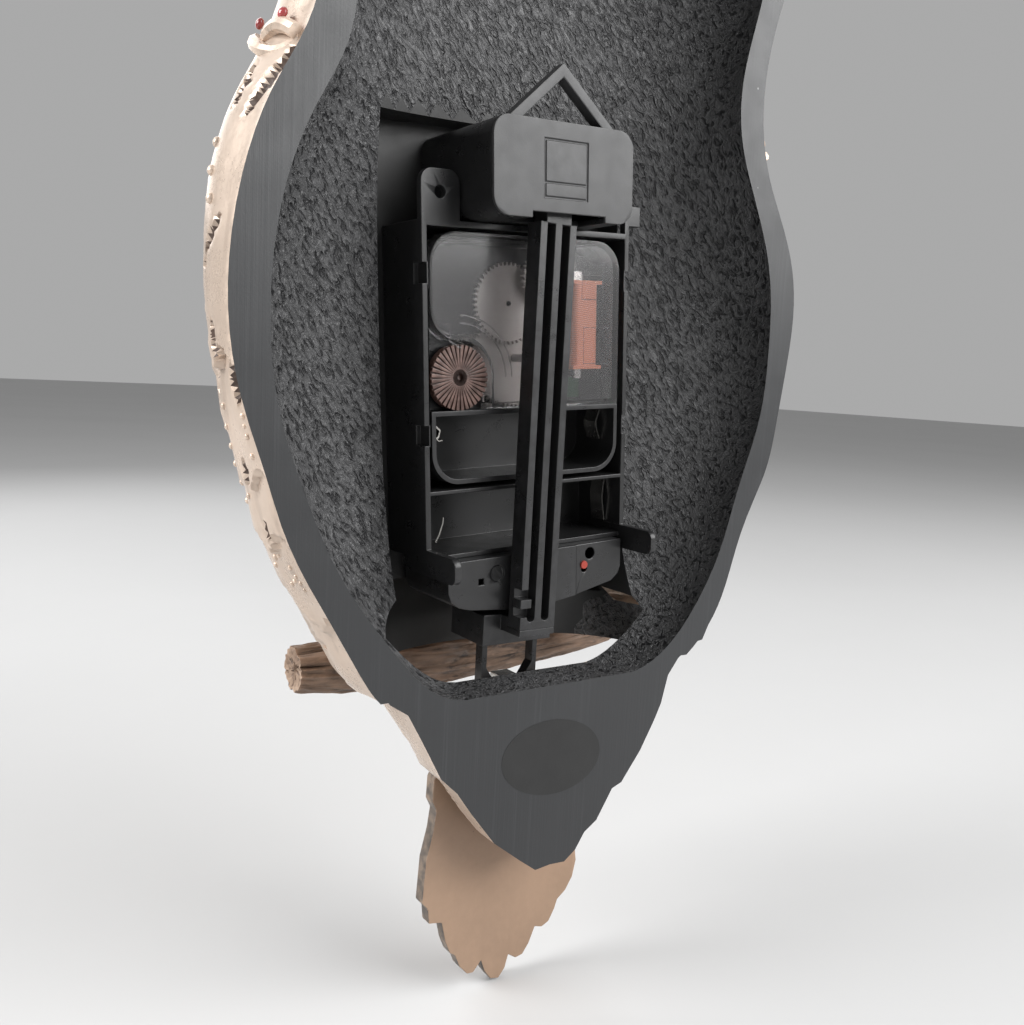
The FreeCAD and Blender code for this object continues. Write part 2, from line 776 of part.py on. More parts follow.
minute_tooth_deg = third_deg
third_pinion_tooth_deg = mate_tooth_deg(minute_tooth_deg, minute_wheel_teeth, third_deg, train_pinion_teeth)
third_tooth_deg = seconds_deg
seconds_pinion_tooth_deg = mate_tooth_deg(third_tooth_deg, third_wheel_teeth, seconds_deg, train_pinion_teeth)
seconds_tooth_deg = rotor_deg
rotor_tooth_deg = mate_tooth_deg(seconds_tooth_deg, seconds_wheel_teeth, rotor_deg, rotor_pinion_teeth)
cannon_tooth_deg = reverse_deg
reverse_tooth_deg = mate_tooth_deg(cannon_tooth_deg, cannon_teeth, reverse_deg, reverse_teeth)
setting_tooth_deg = mate_tooth_deg(reverse_tooth_deg, reverse_teeth, setting_deg, setting_teeth)
hour_tooth_deg = reverse_deg
reverse_pinion_tooth_deg = mate_tooth_deg(hour_tooth_deg, hour_teeth, reverse_deg, reverse_pinion_teeth)


def on_post(shape, centre):
    """A wheel bored to run on its post."""
    return shape.cut(rod_y(centre[0], centre[1], post_r + running_gap, post_back - overrun, case_floor + overrun))


def make_posts():
    """The posts that the wheels run on, each with a shoulder under its lowest wheel."""
    posts = []
    for centre, top, shoulder in (
            (reverse_centre, cannon_back - post_over, hour_wheel_front),
            (third_centre, third_wheel_front - wheel_thickness - post_over, minute_wheel_front),
            (seconds_centre, post_back, third_wheel_front),
            (rotor_centre, post_back, rotor_front)):
        posts.append(rod_y(centre[0], centre[1], post_r, top, case_floor + weld))
        posts.append(rod_y(centre[0], centre[1], post_foot_r, shoulder + seat_gap, case_floor + weld))
    return posts


def make_hour_wheel():
    """The hour wheel and its tube through the bush."""
    wheel = gear(arbor_centre, motion_module, hour_teeth, hour_wheel_front - wheel_thickness,
                 hour_wheel_front, hour_tooth_deg)
    tube = rod_y(0, 0, hour_tube_r, hour_wheel_front - wheel_thickness, hour_hand_front)
    bore = rod_y(0, 0, hour_tube_bore, hour_wheel_front - wheel_thickness - overrun, hour_hand_front + overrun)
    return leaned(fused([wheel, tube]).cut(bore))


def make_minute_arbor():
    """The minute arbor with the cannon pinion cut on it."""
    shaft = rod_y(0, 0, minute_arbor_r, post_back, hour_hand_front + hand_step + hand_cap_height / 2)
    pinion = gear(arbor_centre, motion_module, cannon_teeth, cannon_back, cannon_front, cannon_tooth_deg)
    return leaned(fused([shaft, pinion]))


def make_minute_wheel():
    """The wheel that drives the minute arbor through its slipping fit."""
    wheel = gear(arbor_centre, train_module, minute_wheel_teeth, minute_wheel_front - wheel_thickness,
                 minute_wheel_front, minute_tooth_deg)
    hub = rod_y(0, 0, 2 * minute_arbor_r, minute_wheel_front, minute_wheel_front + wheel_thickness)
    bore = rod_y(0, 0, minute_arbor_r + running_gap, minute_wheel_front - overrun,
                 minute_wheel_front + 2 * overrun)
    return leaned(fused([wheel, hub]).cut(bore))


def make_reverse_wheel():
    """The wheel and pinion between the cannon and the hour wheel."""
    wheel = gear(reverse_centre, motion_module, reverse_teeth, cannon_back, cannon_front - wheel_thickness / 2,
                 reverse_tooth_deg)
    pinion = gear(reverse_centre, motion_module, reverse_pinion_teeth, cannon_back, hour_wheel_front,
                  reverse_pinion_tooth_deg)
    return leaned(on_post(fused([wheel, pinion]), reverse_centre))


def make_third_wheel():
    """The third wheel, whose pinion turns the minute wheel."""
    wheel = gear(third_centre, train_module, third_wheel_teeth, third_wheel_front - wheel_thickness,
                 third_wheel_front, third_tooth_deg)
    pinion = gear(third_centre, train_module, train_pinion_teeth, third_wheel_front - wheel_thickness,
                  minute_wheel_front, third_pinion_tooth_deg)
    return leaned(on_post(fused([wheel, pinion]), third_centre))


def make_seconds_wheel():
    """The seconds wheel, whose pinion turns the third wheel."""
    wheel = gear(seconds_centre, train_module, seconds_wheel_teeth, seconds_wheel_front - wheel_thickness,
                 seconds_wheel_front, seconds_tooth_deg)
    pinion = gear(seconds_centre, train_module, train_pinion_teeth, seconds_wheel_front - wheel_thickness,
                  third_wheel_front, seconds_pinion_tooth_deg)
    return leaned(on_post(fused([wheel, pinion]), seconds_centre))


def make_rotor():
    """The magnet of the stepping motor with its pinion."""
    magnet = rod_y(rotor_centre[0], rotor_centre[1], rotor_r, rotor_front - rotor_height, rotor_front)
    pinion = gear(rotor_centre, train_module, rotor_pinion_teeth, seconds_wheel_front - wheel_thickness,
                  rotor_front - rotor_height, rotor_tooth_deg)
    return leaned(on_post(fused([magnet, pinion]), rotor_centre))


def make_setting_knob():
    """The ribbed knob, its stem and the pinion that turns the hands."""
    x, z = knob_centre
    front = knob_back + knob_thickness
    disc = rod_y(x, z, knob_r, knob_back, front)
    dish = rod_y(x, z, knob_r * 0.24, knob_back - overrun, knob_back + knob_rib_depth)
    disc = disc.cut(dish)
    grooves = []
    width = 2 * math.pi * knob_r / knob_ribs * knob_rib_share
    for number in range(knob_ribs):
        groove = Part.Face(Part.makePolygon([
            V(knob_r * 0.34, -knob_back, 0), V(knob_r + overrun, -knob_back, -width / 2),
            V(knob_r + overrun, -knob_back, width / 2), V(knob_r * 0.34, -knob_back, 0)]))
        groove = groove.extrude(V(0, -knob_rib_depth, 0))
        groove.rotate(V(0, 0, 0), V(0, 1, 0), 360.0 * number / knob_ribs)
        grooves.append(place(groove, x, 0, z))
    disc = disc.cut(grooves)
    stem = rod_y(x, z, knob_stem_r, front, cannon_front)
    pinion = gear(knob_centre, motion_module, setting_teeth, cannon_back, cannon_front, setting_tooth_deg)
    return leaned(fused([disc, stem, pinion]))


# Module, in the movement's own frame

def knob_well(grow, back, front):
    """The hollow corner of the module about the knob, with a round inner wall and a flared edge."""
    x, z = knob_centre
    reach = knob_r + knob_well_gap + grow
    edge = half_module + overrun
    foot = -cover_foot - overrun
    well = rod_y(x, z, reach, back, front)
    side = box(x, edge, -front, -back, foot, z + reach)
    under = box(x - reach, edge, -front, -back, foot, z)
    turn_x = half_module - knob_flare_r
    turn_z = z + knob_r + knob_well_gap + knob_flare_r
    flare = box(turn_x, edge, -front, -back, z, turn_z)
    flare = flare.cut(rod_y(turn_x, turn_z, knob_flare_r - grow, back - overrun, front + overrun))
    return fused([well, side, under, flare])


def module_slab(inset, foot, back, front):
    """The module's plan above a line, drawn in from its edge."""
    half = half_module - inset
    return rounded_plate(-half, half, foot, module_top - inset, module_corner - inset, back, front, True)


def make_module_case():
    """The module's front tray with its battery bay, wheel posts, knob shelf and threaded bush."""
    block = rounded_plate(-half_module, half_module, -module_bottom, module_top, module_corner,
                          module_back, module_front)
    room = module_slab(module_wall, -cover_foot, module_back - overrun, case_floor)
    bay = rounded_plate(-inner_half_module, inner_half_module, -module_bottom + module_wall, -bay_top,
                        module_corner - module_wall, module_back - overrun, bay_floor)
    bay_shoulders = box(-inner_half_module, inner_half_module, -bay_floor, -module_back + overrun,
                        -module_bottom + module_corner, -bay_top)
    wheel_room = rod_y(0, 0, minute_wheel_tip_r + seat_gap, minute_wheel_front - wheel_thickness - seat_gap,
                       minute_wheel_front + seat_gap / 2)
    seam = box(-half_module - overrun, half_module + overrun, -cover_seam, -module_back + overrun,
               -cover_foot, module_top + overrun)
    case = block.cut([room, bay, bay_shoulders, seam, wheel_room])
    shelf = knob_well(0, well_floor_back, well_floor_back + well_floor)
    shelf = shelf.common(module_slab(module_wall + seat_gap, -cover_foot - weld, well_floor_back, module_front))
    rail = box(inner_half_module - 2 * module_wall, inner_half_module - seat_gap, -case_floor - weld,
               -well_floor_back - weld, -cover_foot - weld, knob_centre[1] + knob_r)
    case = fused([case, shelf, rail])
    case = case.cut(rod_y(knob_centre[0], knob_centre[1], knob_stem_r + running_gap,
                          well_floor_back - overrun, well_floor_back + well_floor + overrun))
    bush = rod_y(0, 0, bush_r, module_front - weld, bush_front)
    case = fused([case, bush] + make_posts())
    return leaned(case.cut(rod_y(0, 0, bush_bore, case_floor - overrun, bush_front + overrun)))


def make_module_cover():
    """The clear rear cap of the module, cut away about the knob."""
    cap = module_slab(0, -cover_foot, module_back, cover_seam)
    room = module_slab(module_wall, -cover_foot + cover_wall, module_back + cover_wall, cover_seam + overrun)
    wall = knob_well(cover_wall, module_back, well_floor_back - seat_gap)
    wall = wall.common(module_slab(0, -cover_foot, module_back, cover_seam))
    cap = fused([cap.cut(room), wall])
    return leaned(cap.cut(knob_well(0, module_back - overrun, cover_seam + overrun)))


def make_stepper_coil():
    """The motor's winding between two flanges on its bobbin."""
    front = coil_back + 2 * coil_half_width
    wound = rounded_bar(coil_x, coil_foot, coil_height, coil_half_width, coil_corner)
    parts = [wound]
    grown = coil_half_width + flange_over
    for foot in (coil_foot - flange_thickness, coil_foot + coil_height):
        parts.append(box(coil_x - grown, coil_x + grown, -front - flange_over, -coil_back + flange_over,
                         foot, foot + flange_thickness))
    coil = fused(parts)
    return leaned(coil.cut(core_form(seat_gap)))


def rounded_bar(x, foot, height, half, corner):
    """An upright square bar with rounded edges, as a winding has."""
    bar = box(x - half, x + half, -coil_back - 2 * half, -coil_back, foot, foot + height)
    upright = [e for e in bar.Edges if abs(e.Length - height) < overrun * 0.001]
    return bar.makeFillet(corner, upright)


def core_form(grow):
    """The bar of the stator that runs through the bobbin."""
    middle = coil_back + coil_half_width
    return box(coil_x - core_width / 2 - grow, coil_x + core_width / 2 + grow,
               -middle - core_thickness / 2 - grow, -middle + core_thickness / 2 + grow,
               coil_foot - core_over, coil_foot + coil_height + core_over)


def make_stepper_stator():
    """The motor's iron: the bar through the coil and the arm about the rotor."""
    middle = coil_back + coil_half_width
    back = middle - core_thickness / 2
    front = middle + core_thickness / 2
    ring_r = rotor_r + stator_gap + stator_ring_over
    top = coil_foot + coil_height + core_over
    arm = box(coil_x - core_width / 2, rotor_centre[0], -front, -back,
              coil_foot + coil_height + flange_thickness + seat_gap, top)
    ring = rod_y(rotor_centre[0], rotor_centre[1], ring_r, back, front)
    stator = fused([core_form(0), arm, ring])
    hole = rod_y(rotor_centre[0], rotor_centre[1], rotor_r + stator_gap, back - overrun, front + overrun)
    ring_room = box(coil_x - coil_half_width - flange_over - seat_gap, coil_x + coil_half_width + flange_over + seat_gap,
                    -front - overrun, -back + overrun,
                    coil_foot + coil_height - overrun, coil_foot + coil_height + flange_thickness + seat_gap)
    cheek = ring_room.cut(core_form(0))
    return leaned(stator.cut([hole, cheek]))


def make_circuit_board():
    """The small board with its sealed chip, under the coil."""
    back = case_floor - board_thickness
    board = box(board_x - board_width / 2, board_x + board_width / 2, -case_floor, -back,
                board_foot, board_foot + board_height)
    chip = cone_y(board_x, board_foot + board_height / 2, chip_r / 2, chip_r, back - chip_height, back)
    return leaned(fused([board, chip]))


def strip(points, back, front):
    """A bent metal strip seen edge on, of one thickness along a chain of points."""
    left = []
    right = []
    for index, point in enumerate(points):
        before = points[max(index - 1, 0)]
        after = points[min(index + 1, len(points) - 1)]
        run_x = after[0] - before[0]
        run_z = after[1] - before[1]
        length = math.hypot(run_x, run_z)
        across_x = -run_z / length * contact_thickness / 2
        across_z = run_x / length * contact_thickness / 2
        left.append((point[0] + across_x, point[1] + across_z))
        right.append((point[0] - across_x, point[1] - across_z))
    return plate(left + right[::-1], back, front)


def make_contact(side, wall_half, top, height, reach_share):
    """A sprung contact leaf standing off an end wall of a battery bay."""
    wall = side * (wall_half - contact_wall_gap - contact_thickness / 2)
    bend = side * contact_bend
    foot = top - height
    points = [(wall, top), (wall - bend * reach_share, top - height * 0.42),
              (wall - bend * reach_share * 0.9, top - height * 0.60), (wall, foot)]
    middle = (module_back + case_floor) / 2
    return leaned(strip(points, middle - contact_width / 2, middle + contact_width / 2))


# Frame, drive and hanger, in the movement's own frame

def make_movement_frame():
    """The frame: a tray with a window for the module, a lower battery bay and lugs."""
    outer = box(-frame_half_width, frame_half_width, -frame_front, -frame_back, -frame_foot, frame_top)
    inner_half = frame_inner_half
    window = box(-inner_half, inner_half, -module_front, -frame_back + overrun,
                 -frame_rib_z, frame_top - frame_side_wall)
    bay = box(-inner_half, inner_half, -module_front, -frame_back + overrun,
              -frame_foot + frame_foot_wall, -lower_bay_top)
    frame = outer.cut([window, bay])
    ear = rounded_plate(frame_half_width - ear_tab_width, frame_half_width, frame_top - ear_tab_corner,
                        frame_top + ear_tab_height, ear_tab_corner, frame_back, frame_back + ear_tab_thickness,
                        True)
    ear = ear.cut(box(-frame_half_width, inner_half, -module_front, 0, -frame_foot, frame_top - frame_side_wall))
    ear_hole = rod_y(frame_half_width - ear_hole_side, frame_top + ear_tab_height - ear_hole_drop, ear_hole_r,
                     frame_back - overrun, frame_back + ear_tab_thickness + overrun)
    tab_top = frame_top + hook_tab_rise
    tab = box(-frame_half_width - hook_tab_out, -frame_half_width, -frame_back - ear_tab_thickness,
              -frame_back, tab_top - hook_tab_height, tab_top)
    tab_root = box(-frame_half_width, -inner_half, -frame_back - ear_tab_thickness,
                   -frame_back, frame_top - ear_tab_thickness, tab_top)
    frame = fused([frame, ear, tab, tab_root, make_stop_arm(1), make_stop_arm(-1)])
    notches = []
    for side in (1, -1):
        for share in side_notch_places_shares:
            middle = frame_top * share
            notches.append(box(side * frame_half_width - side_notch, side * frame_half_width + side_notch,
                               -frame_back - 2 * ear_tab_thickness, -frame_back + overrun,
                               middle - side_notch_length / 2, middle + side_notch_length / 2))
    bush_hole = rod_y(0, 0, bush_r + seat_gap, module_front - overrun, frame_front + overrun)
    return leaned(frame.cut(notches + [ear_hole, bush_hole]))


def make_stop_arm(side):
    """An arm with a rounded end that reaches back from the frame to the wall."""
    outer = side * frame_half_width
    inner = outer - side * stop_arm_thickness
    foot = -frame_foot - stop_arm_drop
    arm = box(min(outer, inner), max(outer, inner), -frame_back - stop_arm_root, -stop_arm_wall_gap,
              foot, foot + stop_arm_height)
    fine = overrun * same_share
    edges = [e for e in arm.Edges
             if abs(e.Length - stop_arm_thickness) < fine and e.CenterOfMass.y > -stop_arm_wall_gap - fine]
    return arm.makeFillet(stop_arm_height / 3, edges)


def drive_cover_outline(shrink):
    """The drive cover's outline with its shallow curved foot."""
    half = drive_cover_half_width - shrink
    height = drive_cover_height - 2 * shrink
    top = -frame_foot - shrink
    return [(across * half, top - down * height) for across, down in drive_cover_outline_shares]


def make_drive_cover():
    """The drive box under the lower bay: a closed tray with a raised field and small holes."""
    tray = plate(drive_cover_outline(0), drive_cover_back, module_front)
    room = plate(drive_cover_outline(drive_cover_wall), drive_cover_back + drive_cover_wall,
                 module_front - drive_cover_wall)
    step = box(-drive_cover_half_width - overrun, drive_cover_step_x, -drive_cover_back - drive_cover_step,
               overrun, -drive_cover_foot - overrun, -frame_foot)
    half = drive_cover_half_width
    middle = -frame_foot - drive_cover_height * 0.4
    deep = drive_cover_back + drive_cover_wall + overrun
    holes = [
        rod_y(-half * 0.61, middle + 2 * drive_screw_r, drive_screw_r, drive_cover_back - overrun, deep),
        rod_y(-half * 0.54, middle - drive_hole_r, drive_hole_r, drive_cover_back - overrun, deep),
        box(half * 0.65 - drive_square / 2, half * 0.65 + drive_square / 2, -deep, 0,
            middle - drive_square / 2, middle + drive_square / 2),
        rod_y(half * 0.48, middle + drive_square, drive_dimple_r, drive_cover_back - overrun,
              drive_cover_back + drive_cover_step),
    ]
    return leaned(tray.cut([room, step] + holes))


def make_drive_coil():
    """The flat winding that feels and pushes the pendulum's magnet."""
    z = -frame_foot - drive_cover_height / 2
    x = pendulum_local_x(z)
    back = drive_cover_back + drive_cover_wall + seat_gap
    coil = rod_y(x, z, drive_coil_r - seat_gap, back, back + drive_coil_thickness)
    return leaned(coil.cut(rod_y(x, z, drive_coil_hole_r, back - overrun, back + drive_coil_thickness + overrun)))


def make_hanger_housing():
    """The hollow box from the frame to the wall that carries pin, cover and loop."""
    back = hanger_cover_back + hanger_cover_thickness
    outer = rounded_plate(-housing_half_width, housing_half_width, housing_floor, housing_top,
                          housing_corner, back, frame_front)
    room = rounded_plate(-housing_half_width + housing_wall, housing_half_width - housing_wall,
                         housing_floor + housing_wall, housing_top - housing_wall,
                         housing_corner - housing_wall, back - overrun, frame_front - housing_wall)
    housing = outer.cut(room)
    slot = box(pivot_local_x - arm_slot_half_width, pivot_local_x + arm_slot_half_width,
               -arm_back - arm_depth - seat_gap - arm_rib, 0, housing_floor - overrun,
               housing_floor + housing_wall + overrun)
    housing = housing.cut(slot)
    bearing_front = arm_back + arm_depth + arm_rib
    bearing = box(pivot_local_x - 2 * pivot_pin_head_r, pivot_local_x + 2 * pivot_pin_head_r,
                  -frame_front + housing_wall - weld, -bearing_front,
                  pivot_above_arbor - 2 * pivot_pin_head_r, pivot_above_arbor + 2 * pivot_pin_head_r)
    housing = fused([housing, bearing])
    return leaned(housing.cut(rod_y(pivot_local_x, pivot_above_arbor, pivot_pin_r, 0,
                                    bearing_front + 2 * pivot_pin_head_r)))


def make_pivot_pin():
    """The pin the pendulum hangs on, pressed into the housing."""
    front = arm_back + arm_depth + arm_rib + 2 * pivot_pin_head_r
    head_front = arm_back - seat_gap
    pin = rod_y(pivot_local_x, pivot_above_arbor, pivot_pin_r, head_front - pivot_pin_head, front)
    head = rod_y(pivot_local_x, pivot_above_arbor, pivot_pin_head_r, head_front - pivot_pin_head, head_front)
    return leaned(fused([pin, head]))


def panel_field(low, high):
    """One plain raised field of the hanger cover's panel."""
    return box(-panel_half_width + panel_groove, panel_half_width - panel_groove,
               -hanger_cover_back - panel_groove_depth - overrun, 2 * overrun,
               low + panel_groove, high - panel_groove)


def make_hanger_cover():
    """The plate that closes the housing at the wall, with a blank panel above a blank row."""
    cover = rounded_plate(-housing_half_width, housing_half_width, housing_floor, housing_top,
                          housing_corner, hanger_cover_back, hanger_cover_back + hanger_cover_thickness)
    notch = box(pivot_local_x - arm_slot_half_width, pivot_local_x + arm_slot_half_width,
                -hanger_cover_back - hanger_cover_thickness - overrun, overrun, housing_floor - overrun,
                housing_floor + cover_notch_height)
    foot = housing_floor + panel_above_foot
    panel = box(-panel_half_width, panel_half_width, -hanger_cover_back - panel_groove_depth, overrun,
                foot, foot + panel_height)
    fields = [panel_field(foot, foot + panel_row_height + panel_groove),
              panel_field(foot + panel_row_height, foot + panel_height)]
    return leaned(cover.cut([notch, panel.cut(fields)]))


def make_hanger_loop():
    """The three-cornered loop that goes over the nail, standing on the housing."""
    rise = hook_above_arbor - housing_top
    inner_half = loop_half_base - loop_band * math.hypot(rise, loop_half_base) / rise
    lift = rise * (loop_half_base - inner_half) / inner_half
    loop = plate([(-loop_half_base, housing_top), (loop_half_base, housing_top), (0, hook_above_arbor + lift)],
                 loop_back, loop_back + loop_depth)
    hole = plate([(-inner_half, housing_top), (inner_half, housing_top), (0, hook_above_arbor)],
                 loop_back - overrun, loop_back + loop_depth + overrun)
    return leaned(loop.cut(hole))


# Pendulum, hanging straight below its pin in the clock's frame

def make_pendulum_arm():
    """The ribbed arm: three ribs towards the wall and an eye on the pin."""
    front = arm_back + arm_depth
    bar = box(pin_x - arm_half_width, pin_x + arm_half_width, -front, -arm_back, arm_foot_z, pin_z - arm_eye_drop)
    groove_half = (2 * arm_half_width - 3 * arm_rib) / 4
    groove_front = arm_back + arm_groove_depth
    grooves = []
    for side in (1, -1):
        middle = pin_x + side * (arm_rib / 2 + groove_half)
        end_z = arm_foot_z + arm_rib + groove_half
        grooves.append(box(middle - groove_half, middle + groove_half, -groove_front, 0,
                           end_z, pin_z - arm_eye_drop + overrun))
        grooves.append(rod_y(middle, end_z, groove_half, 0, groove_front))
    rib_low = pin_x + arm_half_width - arm_rib
    grooves.append(box(rib_low - 2 * groove_half, rib_low + 2 * arm_rib, -groove_front, 0,
                       arm_cut_foot_z, arm_cut_top_z))
    boss = box(rib_low - arm_boss / 2, rib_low + arm_boss / 2 + arm_rib / 2, -groove_front - weld, -arm_back,
               arm_cut_foot_z + arm_boss, arm_cut_foot_z + 2 * arm_boss)
    neck = box(pin_x - arm_eye_r, pin_x + arm_eye_r, -front, -arm_back, pin_z - arm_eye_drop - weld, pin_z)
    eye = rod_y(pin_x, pin_z, arm_eye_r, arm_back, front)
    arm = fused([bar.cut(grooves), boss, neck, eye])
    bore = rod_y(pin_x, pin_z, pivot_pin_r + running_gap, arm_back - overrun, front + overrun)
    seat = rod_y(pin_x, magnet_z, magnet_r, front - magnet_thickness, front + overrun)
    return arm.cut([bore, seat])


def make_pendulum_magnet():
    """The magnet let into the arm's front, over the drive coil."""
    front = arm_back + arm_depth
    return rod_y(pin_x, magnet_z, magnet_r - running_gap, front - magnet_thickness, front)


def make_stirrup():
    """The block under the arm with two legs and the bar that the tail hangs from."""
    arm_front = arm_back + arm_depth
    block_foot_z = stirrup_top_z - stirrup_block_height
    low = pin_x - stirrup_half_width
    high = pin_x + stirrup_half_width
    block = box(low, high, -stirrup_back - stirrup_depth, -stirrup_back, block_foot_z, stirrup_top_z)
    hollow = box(low + stirrup_wall, high - stirrup_wall, -stirrup_back - stirrup_depth + stirrup_wall,
                 -stirrup_back - stirrup_wall, block_foot_z - overrun, stirrup_top_z - stirrup_wall)
    block = block.cut(hollow)
    tongue = box(pin_x - arm_half_width, pin_x + arm_half_width, -stirrup_back - weld, -arm_front,
                 arm_foot_z - stirrup_wall, stirrup_top_z)
    lip = box(pin_x - arm_half_width, pin_x + arm_half_width, -arm_front - weld, -arm_back,
              arm_foot_z - stirrup_wall, arm_foot_z)
    parts = [block, tongue, lip]
    for side in (1, -1):
        outer = pin_x + side * leg_outer
        inner = outer - side * leg_width
        parts.append(box(min(outer, inner), max(outer, inner), -leg_back - leg_depth, -leg_back,
                         leg_foot_z, stirrup_top_z - weld))
        parts.append(plate([(inner, leg_foot_z), (inner - side * leg_gusset, leg_foot_z),
                            (inner, leg_foot_z + leg_gusset + stirrup_bar)], leg_back, leg_back + leg_depth))
    parts.append(box(pin_x - leg_outer, pin_x + leg_outer, -leg_back - leg_depth, -leg_back,
                     leg_foot_z, leg_foot_z + stirrup_bar))
    return fused(parts)


def make_tail_hook():
    """The steel loop on the tail that rides over the stirrup's bar."""
    wire = tail_hook_wire
    bar_front = leg_back + leg_depth
    room_front = bar_front + tail_hook_play
    room_back = leg_back - tail_hook_play
    room_foot = leg_foot_z - tail_hook_play
    room_top = leg_foot_z + stirrup_bar + tail_hook_play
    low = pin_x - tail_hook_half_width
    high = pin_x + tail_hook_half_width
    ring = box(low, high, -room_front - wire, -room_back + wire, room_foot - wire, tail_hook_top_z)
    room = box(low - overrun, high + overrun, -room_front, -room_back, room_foot, room_top)
    over = box(low - overrun, high + overrun, -room_front - wire - overrun, -room_back + wire + overrun,
               room_top + wire, tail_hook_top_z + overrun)
    tongue_back = tail_back + tail_sag + tail_thickness
    tongue = box(low, high, -tongue_back - wire, -tongue_back, tail_top_z - tail_hook_foot, room_foot)
    shelf = box(low, high, -tongue_back - wire, -leg_back, room_foot - wire, room_foot)
    return fused([ring.cut([room, over]), tongue, shelf])


def make_tail():
    """The owl's tail: a curved plate with feather tips that swings as the pendulum's bob."""
    height = tail_top_z - tail_bottom_z
    outline = [(pin_x + across * tail_half_width, tail_top_z - down * height)
               for across, down in tail_outline_shares]
    slab = plate(outline, tail_back, tail_back + tail_sag + tail_thickness)
    centre = V(pin_x, -tail_back - tail_sag + tail_curve_r, tail_bottom_z - overrun)
    tall = height + 2 * overrun
    outer = Part.makeCylinder(tail_curve_r + tail_thickness, tall, centre, V(0, 0, 1))
    inner = Part.makeCylinder(tail_curve_r, tall, centre, V(0, 0, 1))
    return slab.common(outer.cut(inner))


def main():
    """Build every piece and write it to its own file."""
    os.makedirs("parts", exist_ok=True)
    body = make_owl_body()
    nodes = {
        "owl_body": body,
        "branch": make_branch(),
        "foot_left": make_foot(1, body),
        "foot_right": make_foot(-1, body),
        "eye_ring_left": make_eye_ring(1),
        "eye_ring_right": make_eye_ring(-1),
        "eye_left": make_eye(1),
        "eye_right": make_eye(-1),
        "beak": make_beak().cut(body).cut([make_eye_ring(1), make_eye_ring(-1)]),
        "dial": make_dial(),
        "dial_bezel": make_dial_bezel(),
        "bush_washer": make_washer(),
        "bush_nut": make_bush_nut(),
        "hour_hand": make_hour_hand(),
        "minute_hand": make_minute_hand(),
        "hand_cap": make_hand_cap(),
        "hour_wheel": make_hour_wheel(),
        "minute_arbor": make_minute_arbor(),
        "minute_wheel": make_minute_wheel(),
        "reverse_wheel": make_reverse_wheel(),
        "third_wheel": make_third_wheel(),
        "seconds_wheel": make_seconds_wheel(),
        "rotor": make_rotor(),
        "setting_knob": make_setting_knob(),
        "module_case": make_module_case(),
        "module_cover": make_module_cover(),
        "stepper_coil": make_stepper_coil(),
        "stepper_stator": make_stepper_stator(),
        "circuit_board": make_circuit_board(),
        "negative_contact": make_contact(1, inner_half_module, -bay_top - contact_thickness, bay_contact_height, 0.9),
        "positive_contact": make_contact(-1, inner_half_module, -bay_top - contact_thickness, bay_contact_height, 0.3),
        "lower_negative_contact": make_contact(1, frame_inner_half, -lower_bay_top - contact_thickness,
                                               contact_reach, 0.6),
        "lower_positive_contact": make_contact(-1, frame_inner_half, -lower_bay_top - contact_thickness,
                                               contact_reach, 0.2),
        "movement_frame": make_movement_frame(),
        "drive_cover": make_drive_cover(),
        "drive_coil": make_drive_coil(),
        "hanger_housing": make_hanger_housing(),
        "pivot_pin": make_pivot_pin(),
        "hanger_cover": make_hanger_cover(),
        "hanger_loop": make_hanger_loop(),
        "pendulum_arm": make_pendulum_arm(),
        "pendulum_magnet": make_pendulum_magnet(),
        "stirrup": make_stirrup(),
        "tail_hook": make_tail_hook(),
        "tail": make_tail(),
    }
    for name, shape in nodes.items():
        if not shape.isValid():
            print("not valid:", name)
        shape.exportStep(os.path.join("parts", name + ".step"))
        low = shape.BoundBox
        print("%-24s %2d solids  x %.1f %.1f  y %.1f %.1f  z %.1f %.1f" % (
            name, len(shape.Solids), low.XMin, low.XMax, low.YMin, low.YMax, low.ZMin, low.ZMax))


main()
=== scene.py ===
import math

import bmesh
import bpy
from bpy.props import FloatProperty, FloatVectorProperty, PointerProperty
from mathutils import Matrix, Vector, noise
from mathutils.bvhtree import BVHTree


